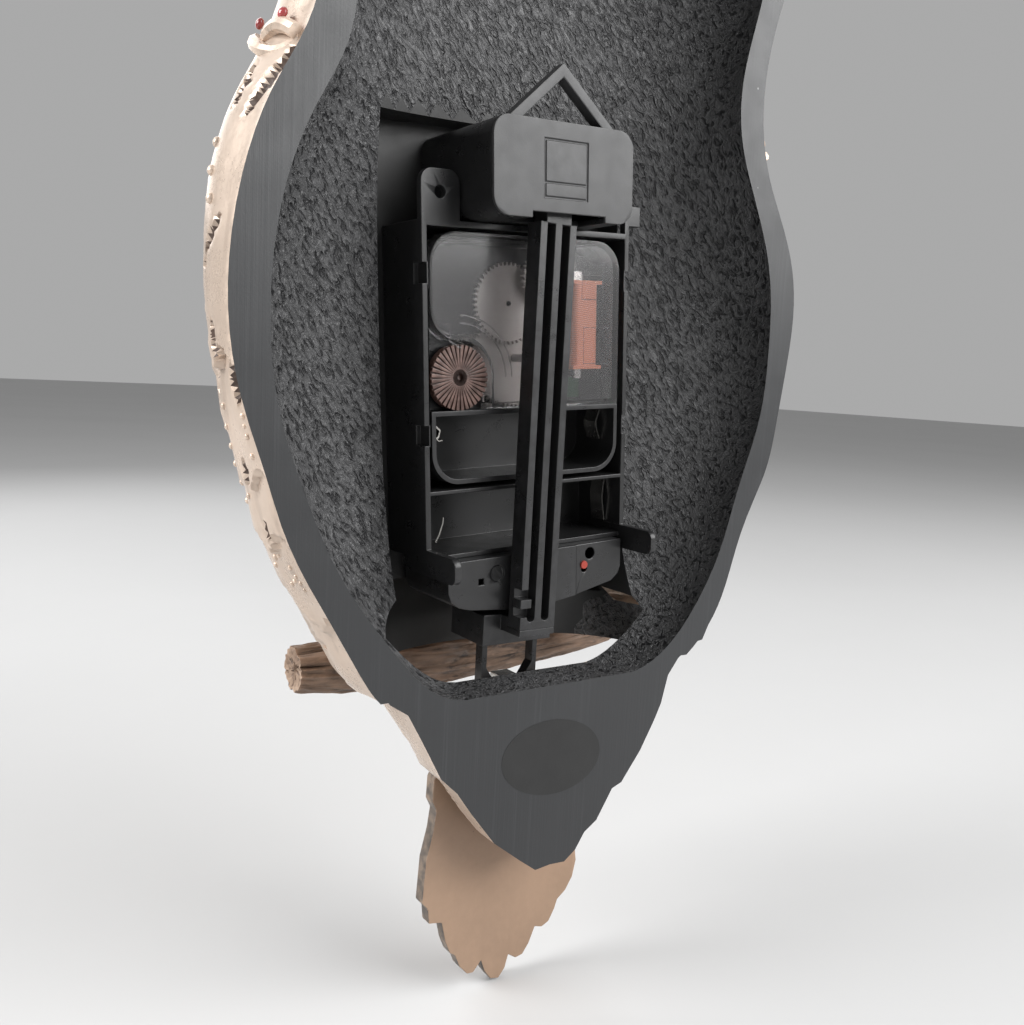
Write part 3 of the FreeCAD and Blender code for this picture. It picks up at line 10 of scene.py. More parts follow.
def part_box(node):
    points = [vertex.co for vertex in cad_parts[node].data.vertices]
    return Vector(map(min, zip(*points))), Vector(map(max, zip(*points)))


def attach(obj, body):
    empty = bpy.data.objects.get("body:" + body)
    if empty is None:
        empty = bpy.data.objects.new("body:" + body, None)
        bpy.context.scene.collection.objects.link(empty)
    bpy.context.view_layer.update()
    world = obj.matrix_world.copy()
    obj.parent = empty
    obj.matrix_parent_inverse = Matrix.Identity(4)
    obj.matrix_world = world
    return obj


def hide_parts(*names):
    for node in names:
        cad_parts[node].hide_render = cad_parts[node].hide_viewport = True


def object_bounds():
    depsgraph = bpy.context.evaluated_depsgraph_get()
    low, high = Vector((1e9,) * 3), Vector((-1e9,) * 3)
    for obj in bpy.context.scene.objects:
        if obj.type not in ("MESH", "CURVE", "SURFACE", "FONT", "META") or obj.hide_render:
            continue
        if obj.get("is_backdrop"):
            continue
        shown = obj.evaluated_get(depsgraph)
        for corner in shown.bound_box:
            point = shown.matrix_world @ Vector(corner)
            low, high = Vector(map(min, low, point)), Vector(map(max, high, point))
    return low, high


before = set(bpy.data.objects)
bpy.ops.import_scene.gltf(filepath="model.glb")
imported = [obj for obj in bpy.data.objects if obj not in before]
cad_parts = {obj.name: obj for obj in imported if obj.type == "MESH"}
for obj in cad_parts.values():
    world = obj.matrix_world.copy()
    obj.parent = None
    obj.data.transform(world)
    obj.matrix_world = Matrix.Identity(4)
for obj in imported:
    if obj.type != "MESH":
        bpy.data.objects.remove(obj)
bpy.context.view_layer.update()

bl_info = {
    "name": "Owl wall clock",
    "version": (1, 0, 0),
    "blender": (4, 5, 0),
    "location": "3D View > Sidebar > Owl clock",
    "description": "Builds the looks of a hollow cast owl clock round its packed parts",
    "category": "Object",
}

# Places and limits, read from the frame or in metres
MM = 0.001
BODY = "clock"
MERGE = 0.002 * MM
BACKWARD = Matrix.Rotation(math.radians(-90), 4, "X")
SHARP = math.radians(40)
ROUNDED = math.radians(30)
UP = Vector((0, 0, 1))
LEAN = math.radians(3.5)


def middle(node):
    """The centre of a node's box."""
    low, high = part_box(node)
    return (low + high) / 2


ARBOR = middle("bush_nut")
AXIS = Vector((-2.5 * MM, 0, 0))
DIAL = middle("dial")
KNOB = middle("setting_knob")
LABEL = Vector((-6.6, 0, -159.9)) * MM
EYE_OUT = 27 * MM
EYE_HEIGHT = 50 * MM
CORE = Vector((-2.5, -5, -30)) * MM
BEZEL_R = (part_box("dial_bezel")[1].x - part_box("dial_bezel")[0].x) / MM / 2
POCKET_HALF = 36.0 * MM
POCKET_LOW = -68.5 * MM
POCKET_HIGH = 57.0 * MM
POCKET_DEPTH = 40.0 * MM
FAR_DEPTH = 30.0 * MM
RIM_DEPTH = 0.3 * MM
SIDE_BAND = 12.0 * MM
LEVEL = 2.0 * MM
COARSE = 2.4

# Which finish a face of the cast body has
OUTER, RIM, HOLLOW, POCKET, SLIT = range(5)


def leaned(x, depth, z):
    """A point of the leaning movement, in millimetres from its arbor, in the clock's frame."""
    across = x * math.cos(LEAN) + z * math.sin(LEAN)
    rise = z * math.cos(LEAN) - x * math.sin(LEAN)
    return Vector((ARBOR.x + across * MM, depth * MM, ARBOR.z + rise * MM))


def unleaned(point):
    """The movement's own X and Z of a point, from the arbor, in metres."""
    x = point.x - ARBOR.x
    z = point.z - ARBOR.z
    return x * math.cos(LEAN) - z * math.sin(LEAN), x * math.sin(LEAN) + z * math.cos(LEAN)


# Node graphs

class Graph:
    """Adds nodes to one tree and feeds their sockets with values or links."""

    def __init__(self, tree):
        self.tree = tree

    def feed(self, socket, value):
        """Links an output to the socket, or sets the socket to a value."""
        if isinstance(value, bpy.types.NodeSocket):
            self.tree.links.new(value, socket)
        else:
            socket.default_value = value

    def node(self, kind, feeds=None, **settings):
        """One node with its settings made and its sockets fed."""
        made = self.tree.nodes.new("ShaderNode" + kind)
        for name, value in settings.items():
            setattr(made, name, value)
        for socket, value in (feeds or {}).items():
            self.feed(made.inputs[socket], value)
        return made

    def sum(self, kind, first, second=0.0):
        """The result of one Math node."""
        return self.node("Math", {0: first, 1: second}, operation=kind).outputs[0]

    def spread(self, value, low, high, to_low=0.0, to_high=1.0):
        """A value stretched from one range to another, and held inside it."""
        feeds = {"Value": value, "From Min": low, "From Max": high,
                 "To Min": to_low, "To Max": to_high}
        return self.node("MapRange", feeds).outputs["Result"]

    def mix(self, share, first, second):
        """A colour between two."""
        return self.node("Mix", {0: share, 6: first, 7: second}, data_type="RGBA").outputs[2]

    def place(self, centre=(0, 0, 0), turn=(0, 0, 0)):
        """Object coordinates counted from a centre, and turned."""
        spot = self.node("TexCoord").outputs["Object"]
        moved = self.node("Mapping", {"Vector": spot, "Location": [-c for c in centre]}).outputs[0]
        return self.node("Mapping", {"Vector": moved, "Rotation": turn}).outputs[0]

    def group(self, name, **feeds):
        """One use of a shared effect."""
        made = self.node("Group", node_tree=bpy.data.node_groups[name])
        for socket, value in feeds.items():
            self.feed(made.inputs[socket.replace("_", " ")], value)
        return made.outputs

    def bump(self, height, distance):
        """A normal from a height of 0 to 1 that stands so far out."""
        return self.node("Bump", {"Height": height, "Distance": distance}).outputs["Normal"]


def new_group(name, takes, gives):
    """An empty shader node group, with its graph, inputs and outputs."""
    tree = bpy.data.node_groups.new(name, "ShaderNodeTree")
    for socket, kind, value in takes:
        made = tree.interface.new_socket(socket, in_out="INPUT", socket_type="NodeSocket" + kind)
        if value is not None:
            made.default_value = value
    for socket, kind in gives:
        tree.interface.new_socket(socket, in_out="OUTPUT", socket_type="NodeSocket" + kind)
    graph = Graph(tree)
    inside = tree.nodes.new("NodeGroupInput").outputs
    outside = tree.nodes.new("NodeGroupOutput").inputs
    return graph, inside, outside


def build_mottle():
    """Cloudy change between two colours."""
    takes = (("Vector", "Vector", None), ("Scale", "Float", 120.0),
             ("Dark", "Color", (0, 0, 0, 1)), ("Light", "Color", (1, 1, 1, 1)))
    graph, given, out = new_group("Mottle", takes, (("Color", "Color"), ("Value", "Float")))
    feeds = {"Vector": given["Vector"], "Scale": given["Scale"], "Detail": 6.0, "Roughness": 0.62}
    cloud = graph.node("TexNoise", feeds).outputs["Fac"]
    value = graph.spread(cloud, 0.33, 0.67)
    graph.feed(out["Value"], value)
    graph.feed(out["Color"], graph.mix(value, given["Dark"], given["Light"]))


def build_grain():
    """Fine grain: a roughness between two limits, and a height."""
    takes = (("Vector", "Vector", None), ("Scale", "Float", 1500.0),
             ("Low", "Float", 0.3), ("High", "Float", 0.5))
    graph, given, out = new_group("Grain", takes, (("Roughness", "Float"), ("Height", "Float")))
    feeds = {"Vector": given["Vector"], "Scale": given["Scale"], "Detail": 4.0, "Roughness": 0.6}
    fine = graph.node("TexNoise", feeds).outputs["Fac"]
    broad_scale = graph.sum("MULTIPLY", given["Scale"], 0.08)
    broad = graph.node("TexNoise", {"Vector": given["Vector"], "Scale": broad_scale}).outputs["Fac"]
    blend = graph.sum("ADD", graph.sum("MULTIPLY", fine, 0.4), graph.sum("MULTIPLY", broad, 0.6))
    graph.feed(out["Roughness"], graph.spread(blend, 0.35, 0.65, given["Low"], given["High"]))
    graph.feed(out["Height"], fine)


def build_wear_and_painted_light():
    """Rubbed edges made paler as painted highlights, and corners made darker as painted shade with some
    dirt, from the bend of the surface.
    """
    takes = (("Vector", "Vector", None), ("Color", "Color", (1, 1, 1, 1)), ("Edge", "Color", (1, 1, 1, 1)),
             ("Dirt", "Color", (0, 0, 0, 1)), ("Amount", "Float", 0.5))
    graph, given, out = new_group("Wear_and_painted_light", takes, (("Color", "Color"), ("Value", "Float")))
    bend = graph.node("NewGeometry").outputs["Pointiness"]
    feeds = {"Vector": given["Vector"], "Scale": 420.0, "Detail": 5.0}
    patchy = graph.spread(graph.node("TexNoise", feeds).outputs["Fac"], 0.38, 0.62)
    # Pointy edges lighten toward the edge tone: rubbed paint with a painted highlight on it.
    edge = graph.sum("MULTIPLY", graph.spread(bend, 0.51, 0.57), patchy)
    edge = graph.sum("MULTIPLY", edge, given["Amount"])
    # Creases darken toward the crease tone: painted shade, with some dirt.
    hollow = graph.sum("MULTIPLY", graph.spread(bend, 0.49, 0.43), given["Amount"])
    dirt_and_shade_tone = graph.mix(hollow, given["Color"], given["Dirt"])
    graph.feed(out["Value"], edge)
    graph.feed(out["Color"], graph.mix(edge, dirt_and_shade_tone, given["Edge"]))


def build_specks():
    """Few small round specks."""
    takes = (("Vector", "Vector", None), ("Scale", "Float", 300.0), ("Size", "Float", 0.09),
             ("Share", "Float", 0.1))
    graph, given, out = new_group("Specks", takes, (("Value", "Float"),))
    cells = graph.node("TexVoronoi", {"Vector": given["Vector"], "Scale": given["Scale"]}).outputs
    near = graph.sum("LESS_THAN", cells["Distance"], given["Size"])
    pick = graph.node("SeparateColor", {"Color": cells["Color"]}).outputs[0]
    chosen = graph.sum("LESS_THAN", pick, given["Share"])
    graph.feed(out["Value"], graph.sum("MULTIPLY", near, chosen))


def build_streaks():
    """Long fine streaks along Z."""
    takes = (("Vector", "Vector", None), ("Scale", "Float", 1.0))
    graph, given, out = new_group("Streaks", takes, (("Value", "Float"),))
    thin = graph.node("Mapping", {"Vector": given["Vector"], "Scale": (900, 60, 9)}).outputs[0]
    feeds = {"Vector": thin, "Scale": given["Scale"], "Detail": 3.0, "Roughness": 0.7}
    graph.feed(out["Value"], graph.node("TexNoise", feeds).outputs["Fac"])


def build_stucco():
    """Short slanted strokes of thick rough paint."""
    takes = (("Vector", "Vector", None), ("Scale", "Float", 520.0))
    graph, given, out = new_group("Stucco", takes, (("Value", "Float"),))
    feeds = {"Vector": given["Vector"], "Rotation": (0, math.radians(52), 0)}
    slant = graph.node("Mapping", feeds).outputs[0]
    drawn = graph.node("Mapping", {"Vector": slant, "Scale": (0.42, 0.8, 1.0)}).outputs[0]
    feeds = {"Vector": drawn, "Scale": given["Scale"], "Detail": 2.5, "Roughness": 0.5, "Distortion": 0.6}
    cloud = graph.node("TexNoise", feeds).outputs["Fac"]
    crest = graph.spread(graph.sum("ABSOLUTE", graph.sum("SUBTRACT", cloud, 0.5)), 0.14, 0.0)
    lumps = graph.spread(cloud, 0.3, 0.7)
    crests = graph.sum("MULTIPLY", crest, 0.5)
    graph.feed(out["Value"], graph.sum("ADD", crests, graph.sum("MULTIPLY", lumps, 0.5)))


def new_material(name):
    """An empty material and its graph."""
    material = bpy.data.materials.new(name)
    material.use_nodes = True
    material.node_tree.nodes.clear()
    return material, Graph(material.node_tree)


def close_material(graph, feeds):
    """The shader of a material, fed and linked to its output."""
    shader = graph.node("BsdfPrincipled", feeds)
    graph.node("OutputMaterial", {"Surface": shader.outputs[0]})


def finish(name, dark, light, patch=90.0, rough=(0.3, 0.5), grain=1400.0, relief=0.02, metal=0.0,
           coat=0.0, edge=None, dirt_and_shade=None, wear_and_painted_light=0.0):
    """A painted, moulded or metal finish: two mottled tones, grain, and worn edges, with painted highlights
    on the edges and painted shade in the creases.
    """
    material, graph = new_material(name)
    spot = graph.place()
    tone = graph.group("Mottle", Vector=spot, Scale=patch, Dark=(*dark, 1), Light=(*light, 1))["Color"]
    skin = graph.group("Grain", Vector=spot, Scale=grain, Low=rough[0], High=rough[1])
    # Paler edges and darker creases: wear and dirt, with painted highlights and painted shade.
    if wear_and_painted_light:
        tone = graph.group("Wear_and_painted_light", Vector=spot, Color=tone, Edge=(*(edge or light), 1),
                           Dirt=(*(dirt_and_shade or dark), 1), Amount=wear_and_painted_light)["Color"]
    close_material(graph, {"Base Color": tone, "Roughness": skin["Roughness"], "Metallic": metal,
                           "Coat Weight": coat, "Coat Roughness": 0.15,
                           "Normal": graph.bump(skin["Height"], relief * MM)})
    return material


# Finishes of this clock

def rim_paint(colour):
    """Satin charcoal paint on the sanded back edge, with upright streaks and dust."""
    material, graph = new_material("rim_paint")
    spot = graph.place()
    dark = [c * 0.82 for c in colour]
    tone = graph.group("Mottle", Vector=spot, Scale=14.0, Dark=(*dark, 1), Light=(*colour, 1))["Color"]
    streak = graph.group("Streaks", Vector=spot)["Value"]
    lined = graph.mix(graph.spread(streak, 0.55, 0.75, 0.0, 0.35), tone, (*[c * 2.2 for c in colour], 1))
    dust = graph.group("Specks", Vector=spot, Scale=330.0, Size=0.1, Share=0.05)["Value"]
    tone = graph.mix(graph.sum("MULTIPLY", dust, 0.6), lined, (0.35, 0.36, 0.36, 1))
    skin = graph.group("Grain", Vector=spot, Scale=1600.0, Low=0.34, High=0.44)
    height = graph.sum("ADD", graph.sum("MULTIPLY", streak, 0.8), graph.sum("MULTIPLY", skin["Height"], 0.3))
    close_material(graph, {"Base Color": tone, "Roughness": skin["Roughness"],
                           "Normal": graph.bump(height, 0.05 * MM)})
    return material


def hollow_paint(colour):
    """Thick grey-black paint in rough slanted strokes, with painted shade in the strokes' pits and painted
    highlights on their crests.
    """
    material, graph = new_material("hollow_paint")
    spot = graph.place()
    dark = [c * 0.7 for c in colour]
    tone = graph.group("Mottle", Vector=spot, Scale=60.0, Dark=(*dark, 1), Light=(*colour, 1))["Color"]
    strokes = graph.group("Stucco", Vector=spot, Scale=900.0)["Value"]
    # The strokes' pits darken toward near-black: painted shade.
    tone = graph.mix(graph.spread(strokes, 0.12, 0.5, 0.9, 0.0), tone, (0.004, 0.004, 0.005, 1))
    # The strokes' crests lighten: painted highlights.
    tone = graph.mix(graph.spread(strokes, 0.7, 1.0, 0.0, 0.6), tone, (*[c * 2.2 for c in colour], 1))
    skin = graph.group("Grain", Vector=spot, Scale=2400.0, Low=0.3, High=0.5)
    height = graph.sum("ADD", strokes, graph.sum("MULTIPLY", skin["Height"], 0.15))
    close_material(graph, {"Base Color": tone, "Roughness": skin["Roughness"],
                           "Normal": graph.bump(height, 0.8 * MM)})
    return material


def cream_plate(colour, wash):
    """Cream paint with a warm pearl sheen and a thin brown wash, rubbed pale on the edges, with painted
    highlights on the edges and painted shade of the wash's colour in the creases.
    """
    material, graph = new_material("cream_plate")
    spot = graph.place()
    low = [0.8 * c for c in colour]
    tone = graph.group("Mottle", Vector=spot, Scale=40.0, Dark=(*low, 1), Light=(*colour, 1))["Color"]
    lines = graph.node("Mapping", {"Vector": spot, "Scale": (300, 300, 30)}).outputs[0]
    brushed = graph.node("TexNoise", {"Vector": lines, "Scale": 1.0, "Detail": 5.0}).outputs["Fac"]
    tone = graph.mix(graph.spread(brushed, 0.56, 0.8, 0.0, 0.35), tone, (*wash, 1))
    # Paler edges are rubbed paint with a painted highlight; creases darken toward the wash as painted shade.
    tone = graph.group("Wear_and_painted_light", Vector=spot, Color=tone, Edge=(*[min(1.0, 1.25 * c) for c in colour], 1),
                       Dirt=(*wash, 1), Amount=0.9)["Color"]
    skin = graph.group("Grain", Vector=spot, Scale=900.0, Low=0.24, High=0.38)
    height = graph.sum("ADD", brushed, skin["Height"])
    close_material(graph, {"Base Color": tone, "Roughness": skin["Roughness"], "Metallic": 0.3,
                           "Normal": graph.bump(height, 0.03 * MM)})
    return material


def bark_finish(bark, crack):
    """Pale tan bark with dark brown cracks along the log."""
    material, graph = new_material("bark")
    spot = graph.place()
    stretched = graph.node("Mapping", {"Vector": spot, "Scale": (45, 170, 170)}).outputs[0]
    feeds = {"Vector": stretched, "Scale": 1.6, "Detail": 8.0, "Roughness": 0.65, "Distortion": 0.6}
    grain = graph.node("TexNoise", feeds).outputs["Fac"]
    low = [0.5 * c for c in bark]
    tone = graph.mix(graph.spread(grain, 0.42, 0.62), (*low, 1), (*bark, 1))
    tone = graph.mix(graph.spread(grain, 0.44, 0.36), tone, (*crack, 1))
    # Paler edges and creases darkened toward the crack colour: painted highlight and painted shade, with
    # wear.
    tone = graph.group("Wear_and_painted_light", Vector=spot, Color=tone, Edge=(*[1.3 * c for c in bark], 1),
                       Dirt=(*crack, 1), Amount=1.0)["Color"]
    skin = graph.group("Grain", Vector=spot, Scale=900.0, Low=0.45, High=0.7)
    close_material(graph, {"Base Color": tone, "Roughness": skin["Roughness"],
                           "Normal": graph.bump(grain, 0.5 * MM)})
    return material


def tail_paint(colour):
    """Plain tan paint, a little darker in wide patches, with a few brown dots."""
    material, graph = new_material("tail_paint")
    spot = graph.place()
    low = [0.8 * c for c in colour]
    tone = graph.group("Mottle", Vector=spot, Scale=22.0, Dark=(*low, 1), Light=(*colour, 1))["Color"]
    dots = graph.group("Specks", Vector=spot, Scale=160.0, Size=0.07, Share=0.05)["Value"]
    tone = graph.mix(graph.sum("MULTIPLY", dots, 0.7), tone, (0.16, 0.10, 0.065, 1))
    # Slightly paler edges and darker creases: painted highlight and painted shade, with a little wear.
    tone = graph.group("Wear_and_painted_light", Vector=spot, Color=tone, Edge=(*[min(1.0, 1.25 * c) for c in colour], 1),
                       Dirt=(*low, 1), Amount=0.25)["Color"]
    skin = graph.group("Grain", Vector=spot, Scale=700.0, Low=0.4, High=0.52)
    close_material(graph, {"Base Color": tone, "Roughness": skin["Roughness"],
                           "Normal": graph.bump(skin["Height"], 0.04 * MM)})
    return material


def smoked_cover(colour, clear):
    """Smoky see-through moulding with a satin skin."""
    material, graph = new_material("smoked_cover")
    spot = graph.place()
    low = [0.9 * c for c in colour]
    tone = graph.group("Mottle", Vector=spot, Scale=40.0, Dark=(*low, 1), Light=(*colour, 1))["Color"]
    skin = graph.group("Grain", Vector=spot, Scale=2200.0, Low=0.1, High=0.16)
    close_material(graph, {"Base Color": tone, "Roughness": skin["Roughness"], "Transmission Weight": clear,
                           "IOR": 1.25, "Coat Weight": 0.35, "Coat Roughness": 0.3,
                           "Normal": graph.bump(skin["Height"], 0.002 * MM)})
    return material


def winding(colour):
    """Lacquered wire wound in close turns, seen as fine lines across the coil, with painted shade between
    the turns.
    """
    material, graph = new_material("salmon_winding")
    spot = graph.place(centre=middle("stepper_coil"), turn=(0, LEAN, 0))
    tall = graph.node("Mapping", {"Vector": spot, "Rotation": (0, math.radians(90), 0)}).outputs[0]
    turns = graph.node("TexWave", {"Vector": tall, "Scale": 620.0, "Distortion": 0.3}).outputs["Fac"]
    dark = [0.62 * c for c in colour]
    # Darker bands between the wire's turns: painted shade.
    tone = graph.mix(turns, (*dark, 1), (*colour, 1))
    skin = graph.group("Grain", Vector=spot, Scale=1500.0, Low=0.3, High=0.42)
    close_material(graph, {"Base Color": tone, "Roughness": skin["Roughness"],
                           "Normal": graph.bump(turns, 0.05 * MM)})
    return material


def eye_glass(name, centre, iris, rim):
    """A glossy amber eye with a dark pupil, rayed iris and dark rim."""
    material, graph = new_material(name)
    spot = graph.place(centre=centre)
    parts = graph.node("SeparateXYZ", {"Vector": spot}).outputs
    flat = graph.node("CombineXYZ", {"X": parts[0], "Z": parts[2]}).outputs[0]
    out = graph.node("VectorMath", {0: flat}, operation="LENGTH").outputs["Value"]
    angle = graph.sum("ARCTAN2", parts[0], parts[2])
    rays = graph.node("TexNoise", {"Vector": graph.node("CombineXYZ", {"X": angle}).outputs[0],
                                   "Scale": 9.0, "Detail": 5.0}).outputs["Fac"]
    dark = [0.35 * c for c in iris]
    tone = graph.mix(graph.spread(rays, 0.35, 0.65), (*dark, 1), (*iris, 1))
    tone = graph.mix(graph.spread(out, 8.5 * MM, 12.0 * MM), tone, (*rim, 1))
    tone = graph.mix(graph.spread(out, 5.6 * MM, 5.2 * MM), tone, (0.004, 0.004, 0.004, 1))
    skin = graph.group("Grain", Vector=spot, Scale=800.0, Low=0.05, High=0.12)
    close_material(graph, {"Base Color": tone, "Roughness": skin["Roughness"], "Coat Weight": 1.0,
                           "Coat Roughness": 0.03, "Normal": graph.bump(rays, 0.02 * MM)})
    return material


def stage_paint(colour):
    """Matt paper of the floor."""
    material, graph = new_material("floor_paper")
    spot = graph.place()
    low = [0.97 * c for c in colour]
    tone = graph.group("Mottle", Vector=spot, Scale=3.0, Dark=(*low, 1), Light=(*colour, 1))["Color"]
    skin = graph.group("Grain", Vector=spot, Scale=400.0, Low=0.85, High=0.95)
    close_material(graph, {"Base Color": tone, "Roughness": skin["Roughness"], "Specular IOR Level": 0.1,
                           "Normal": graph.bump(skin["Height"], 0.02 * MM)})
    return material


# Mesh helpers

def new_piece(name, bm, materials, body=BODY, replaces=(), sharp=SHARP, flat=None):
    """Turns a bmesh into a piece that rides on a body, with sharp borders between its finishes."""
    mesh = bpy.data.meshes.new(name)
    borders = [len({f.material_index for f in e.link_faces}) > 1 for e in bm.edges]
    bm.to_mesh(mesh)
    bm.free()
    stale = mesh.attributes.get("custom_normal")
    if stale:
        mesh.attributes.remove(stale)
    for material in materials:
        mesh.materials.append(material)
    mesh.shade_smooth()
    mesh.set_sharp_from_angle(angle=sharp)
    for edge, border in zip(mesh.edges, borders):
        if border:
            edge.use_edge_sharp = True
    for face in mesh.polygons:
        if face.material_index == flat:
            face.use_smooth = False
    piece = bpy.data.objects.new(name, mesh)
    bpy.context.scene.collection.objects.link(piece)
    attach(piece, body)
    if replaces:
        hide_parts(*replaces)
    return piece


def merged_copy(node):
    """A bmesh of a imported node, with its split corners joined."""
    bm = bmesh.new()
    bm.from_mesh(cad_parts[node].data)
    bmesh.ops.remove_doubles(bm, verts=bm.verts, dist=MERGE)
    bmesh.ops.recalc_face_normals(bm, faces=bm.faces)
    for face in bm.faces:
        face.material_index = 0
    return bm


def rounded_copy(node, width):
    """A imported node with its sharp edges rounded."""
    bm = merged_copy(node)
    sharp = [e for e in bm.edges if e.is_manifold and e.calc_face_angle(0) > ROUNDED]
    bmesh.ops.bevel(bm, geom=sharp, offset=width, offset_type="OFFSET", affect="EDGES", segments=2,
                    profile=0.5, clamp_overlap=False, material=-1)
    return bm


def dress(node, material):
    """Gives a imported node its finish."""
    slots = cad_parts[node].material_slots
    for slot in slots:
        slot.material = material


def strand(bm, points, radius, closed=False, sides=8):
    """A round bar along points, joined to the bmesh."""
    ring_count = len(points)
    rings = []
    for k, point in enumerate(points):
        before = points[k - 1] if k or closed else point
        after = points[(k + 1) % ring_count] if k + 1 < ring_count or closed else point
        turn = (after - before).to_track_quat("Z", "Y").to_matrix().to_4x4()
        made = bmesh.ops.create_circle(bm, cap_ends=False, segments=sides, radius=radius,
                                       matrix=Matrix.Translation(point) @ turn)
        rings.append(made["verts"])
    pairs = list(zip(rings, rings[1:]))
    if closed:
        pairs.append((rings[-1], rings[0]))
    for low, high in pairs:
        near = set(low + high)
        edges = {e for v in near for e in v.link_edges if e.other_vert(v) in near}
        edges = [e for e in edges if (e.verts[0] in low) == (e.verts[1] in low)]
        bmesh.ops.bridge_loops(bm, edges=edges)
    if not closed:
        for ring in (rings[0], rings[-1]):
            bmesh.ops.contextual_create(bm, geom=ring)
    return bm


def bead(bm, point, radius, squash, normal):
    """A small domed bead whose lower part sinks into the surface."""
    turn = normal.to_track_quat("Z", "Y").to_matrix().to_4x4()
    size = Matrix.Diagonal((1, 1, squash, 1))
    bmesh.ops.create_icosphere(bm, subdivisions=2, radius=radius,
                               matrix=Matrix.Translation(point) @ turn @ size)


def block(bm, centre, size, turn=None):
    """A box joined to the bmesh."""
    matrix = Matrix.Translation(centre) @ (turn or Matrix.Identity(4)) @ Matrix.Diagonal((*size, 1))
    return bmesh.ops.create_cube(bm, size=1.0, matrix=matrix)["verts"]


# The cast body

def body_zone(centre, normal):
    """Which finish a face of the cast body has: outer, rim, hollow or pocket."""
    faces_back = normal.y > 0.9
    if faces_back and centre.y > -RIM_DEPTH:
        return RIM
    x, z = unleaned(centre)
    in_pocket = abs(x) < POCKET_HALF and POCKET_LOW < z < POCKET_HIGH
    inward = (centre - CORE).dot(normal) < 0
    if in_pocket and centre.y > -POCKET_DEPTH and (inward or faces_back):
        return POCKET
    # Inner faces deeper than FAR_DEPTH take the pocket's near-black finish: painted shade deep inside the
    # body.
    if inward and centre.y < -FAR_DEPTH:
        return POCKET
    return HOLLOW if inward else OUTER


def eased(value, low, high):
    """A share from 0 to 1 as the value goes from low to high, soft at both ends."""
    share = min(1.0, max(0.0, (value - low) / (high - low)))
    return share * share * (3 - 2 * share)


def split_long(bm, chosen, limit):
    """Splits the edges of the chosen faces until none is longer than the limit."""
    for _ in range(12):
        edges = list({e for f in bm.faces if chosen(f) for e in f.edges if e.calc_length() > limit})
        if not edges:
            break
        bmesh.ops.subdivide_edges(bm, edges=edges, cuts=1)
        bmesh.ops.triangulate(bm, faces=[f for f in bm.faces if len(f.verts) > 3])


def stroke_height(point):
    """Height of the thick paint's strokes at a point, from minus one to one."""
    turned = Vector((point.x * 0.62 - point.z * 0.79, point.y, point.x * 0.79 + point.z * 0.62))
    slow = Vector((turned.x * 420, turned.y * 300, turned.z * 190))
    quick = Vector((turned.x * 900, turned.y * 700, turned.z * 420))
    broad = 0.5 - abs(noise.noise(slow)) * 1.7
    return 0.5 * broad + 0.5 * noise.noise(quick)


# How far the skin stands out at a height, in millimetres, past the plain solid
SWELL = ((14, 0.0), (8, 3.0), (0, 3.8), (-12, 3.6), (-30, 2.6), (-45, 1.0), (-60, 0.0), (-80, -1.2),
         (-110, -2.0), (-135, -2.0), (-152, 0.0))


def swell(point):
    """The step from the plain solid to the fuller shoulders and the leaner point of the skin."""
    z = point.z / MM
    depth = -point.y / MM
    for (high, above), (low, below) in zip(SWELL, SWELL[1:]):
        if low < z <= high:
            amount = below + (above - below) * (z - low) / (high - low)
            break
    else:
        return Vector()
    reach = eased(abs(point.x - AXIS.x) / MM, 15, 40)
    amount *= eased(depth, 0, 13) * eased(depth, 52, 36) * reach
    return Vector((math.copysign(amount * MM, point.x - AXIS.x), 0, 0))


# Slits between the side plates, dark with painted shade: depth and height of both ends, and half width, in
# millimetres
SLITS = (
    (0.8, -4.5, 5.2, -21.5, 1.7), (10.5, -8.0, 10.5, -18.5, 1.3), (5.8, -38.5, 12.0, -46.5, 1.3),
    (11.6, -44.0, 12.6, -50.0, 0.5), (9.6, -58.0, 9.0, -67.0, 1.8), (4.8, -66.3, 4.6, -76.0, 1.4),
    (11.5, -86.5, 12.0, -92.5, 1.1), (2.6, -90.2, 2.8, -94.0, 1.0), (8.8, -98.5, 9.0, -104.0, 1.2),
    (4.2, -117.0, 4.4, -121.5, 1.2), (18.0, -10.0, 22.0, -34.0, 1.5), (17.0, -52.0, 19.0, -80.0, 1.4),
)

# Heights where a side plate ends over the next one, and how far that one lies under it
STEPS = ((-17.0, 0.0), (-66.0, 1.9), (-90.0, 1.2), (-103.5, 1.3), (-121.0, 1.0), (-150.0, 0.0))


def slit_share(run, z):
    """How far a place of the skin lies in a slit: 0 outside, 1 in its middle."""
    best = 0.0
    for run_high, high, run_low, low, half in SLITS:
        if low < z < high:
            share = (high - z) / (high - low)
            width = half * math.sin(math.pi * share)
            across = (run - run_high - (run_low - run_high) * share) / max(width, 0.05)
            best = max(best, 1 - across * across)
    return best


def step_height(run, z):
    """Height of the smooth side plates, lowest under each plate's scalloped end."""
    scallop = z + 2.4 * math.cos(run * 0.55)
    for (high, drop), (low, _) in zip(STEPS, STEPS[1:]):
        if low < scallop <= high:
            return -drop * (scallop - low) / (high - low)
    return 0.0


def leaf_width(v, point=1.6):
    """Half the width of a feather, as a share, from its root at 0 to its tip at 1."""
    body = min(1.0, 0.55 + 1.4 * v)
    tip = 1.0 - max(0.0, (v - 0.5) / 0.5) ** point
    return body * max(tip, 0.0)


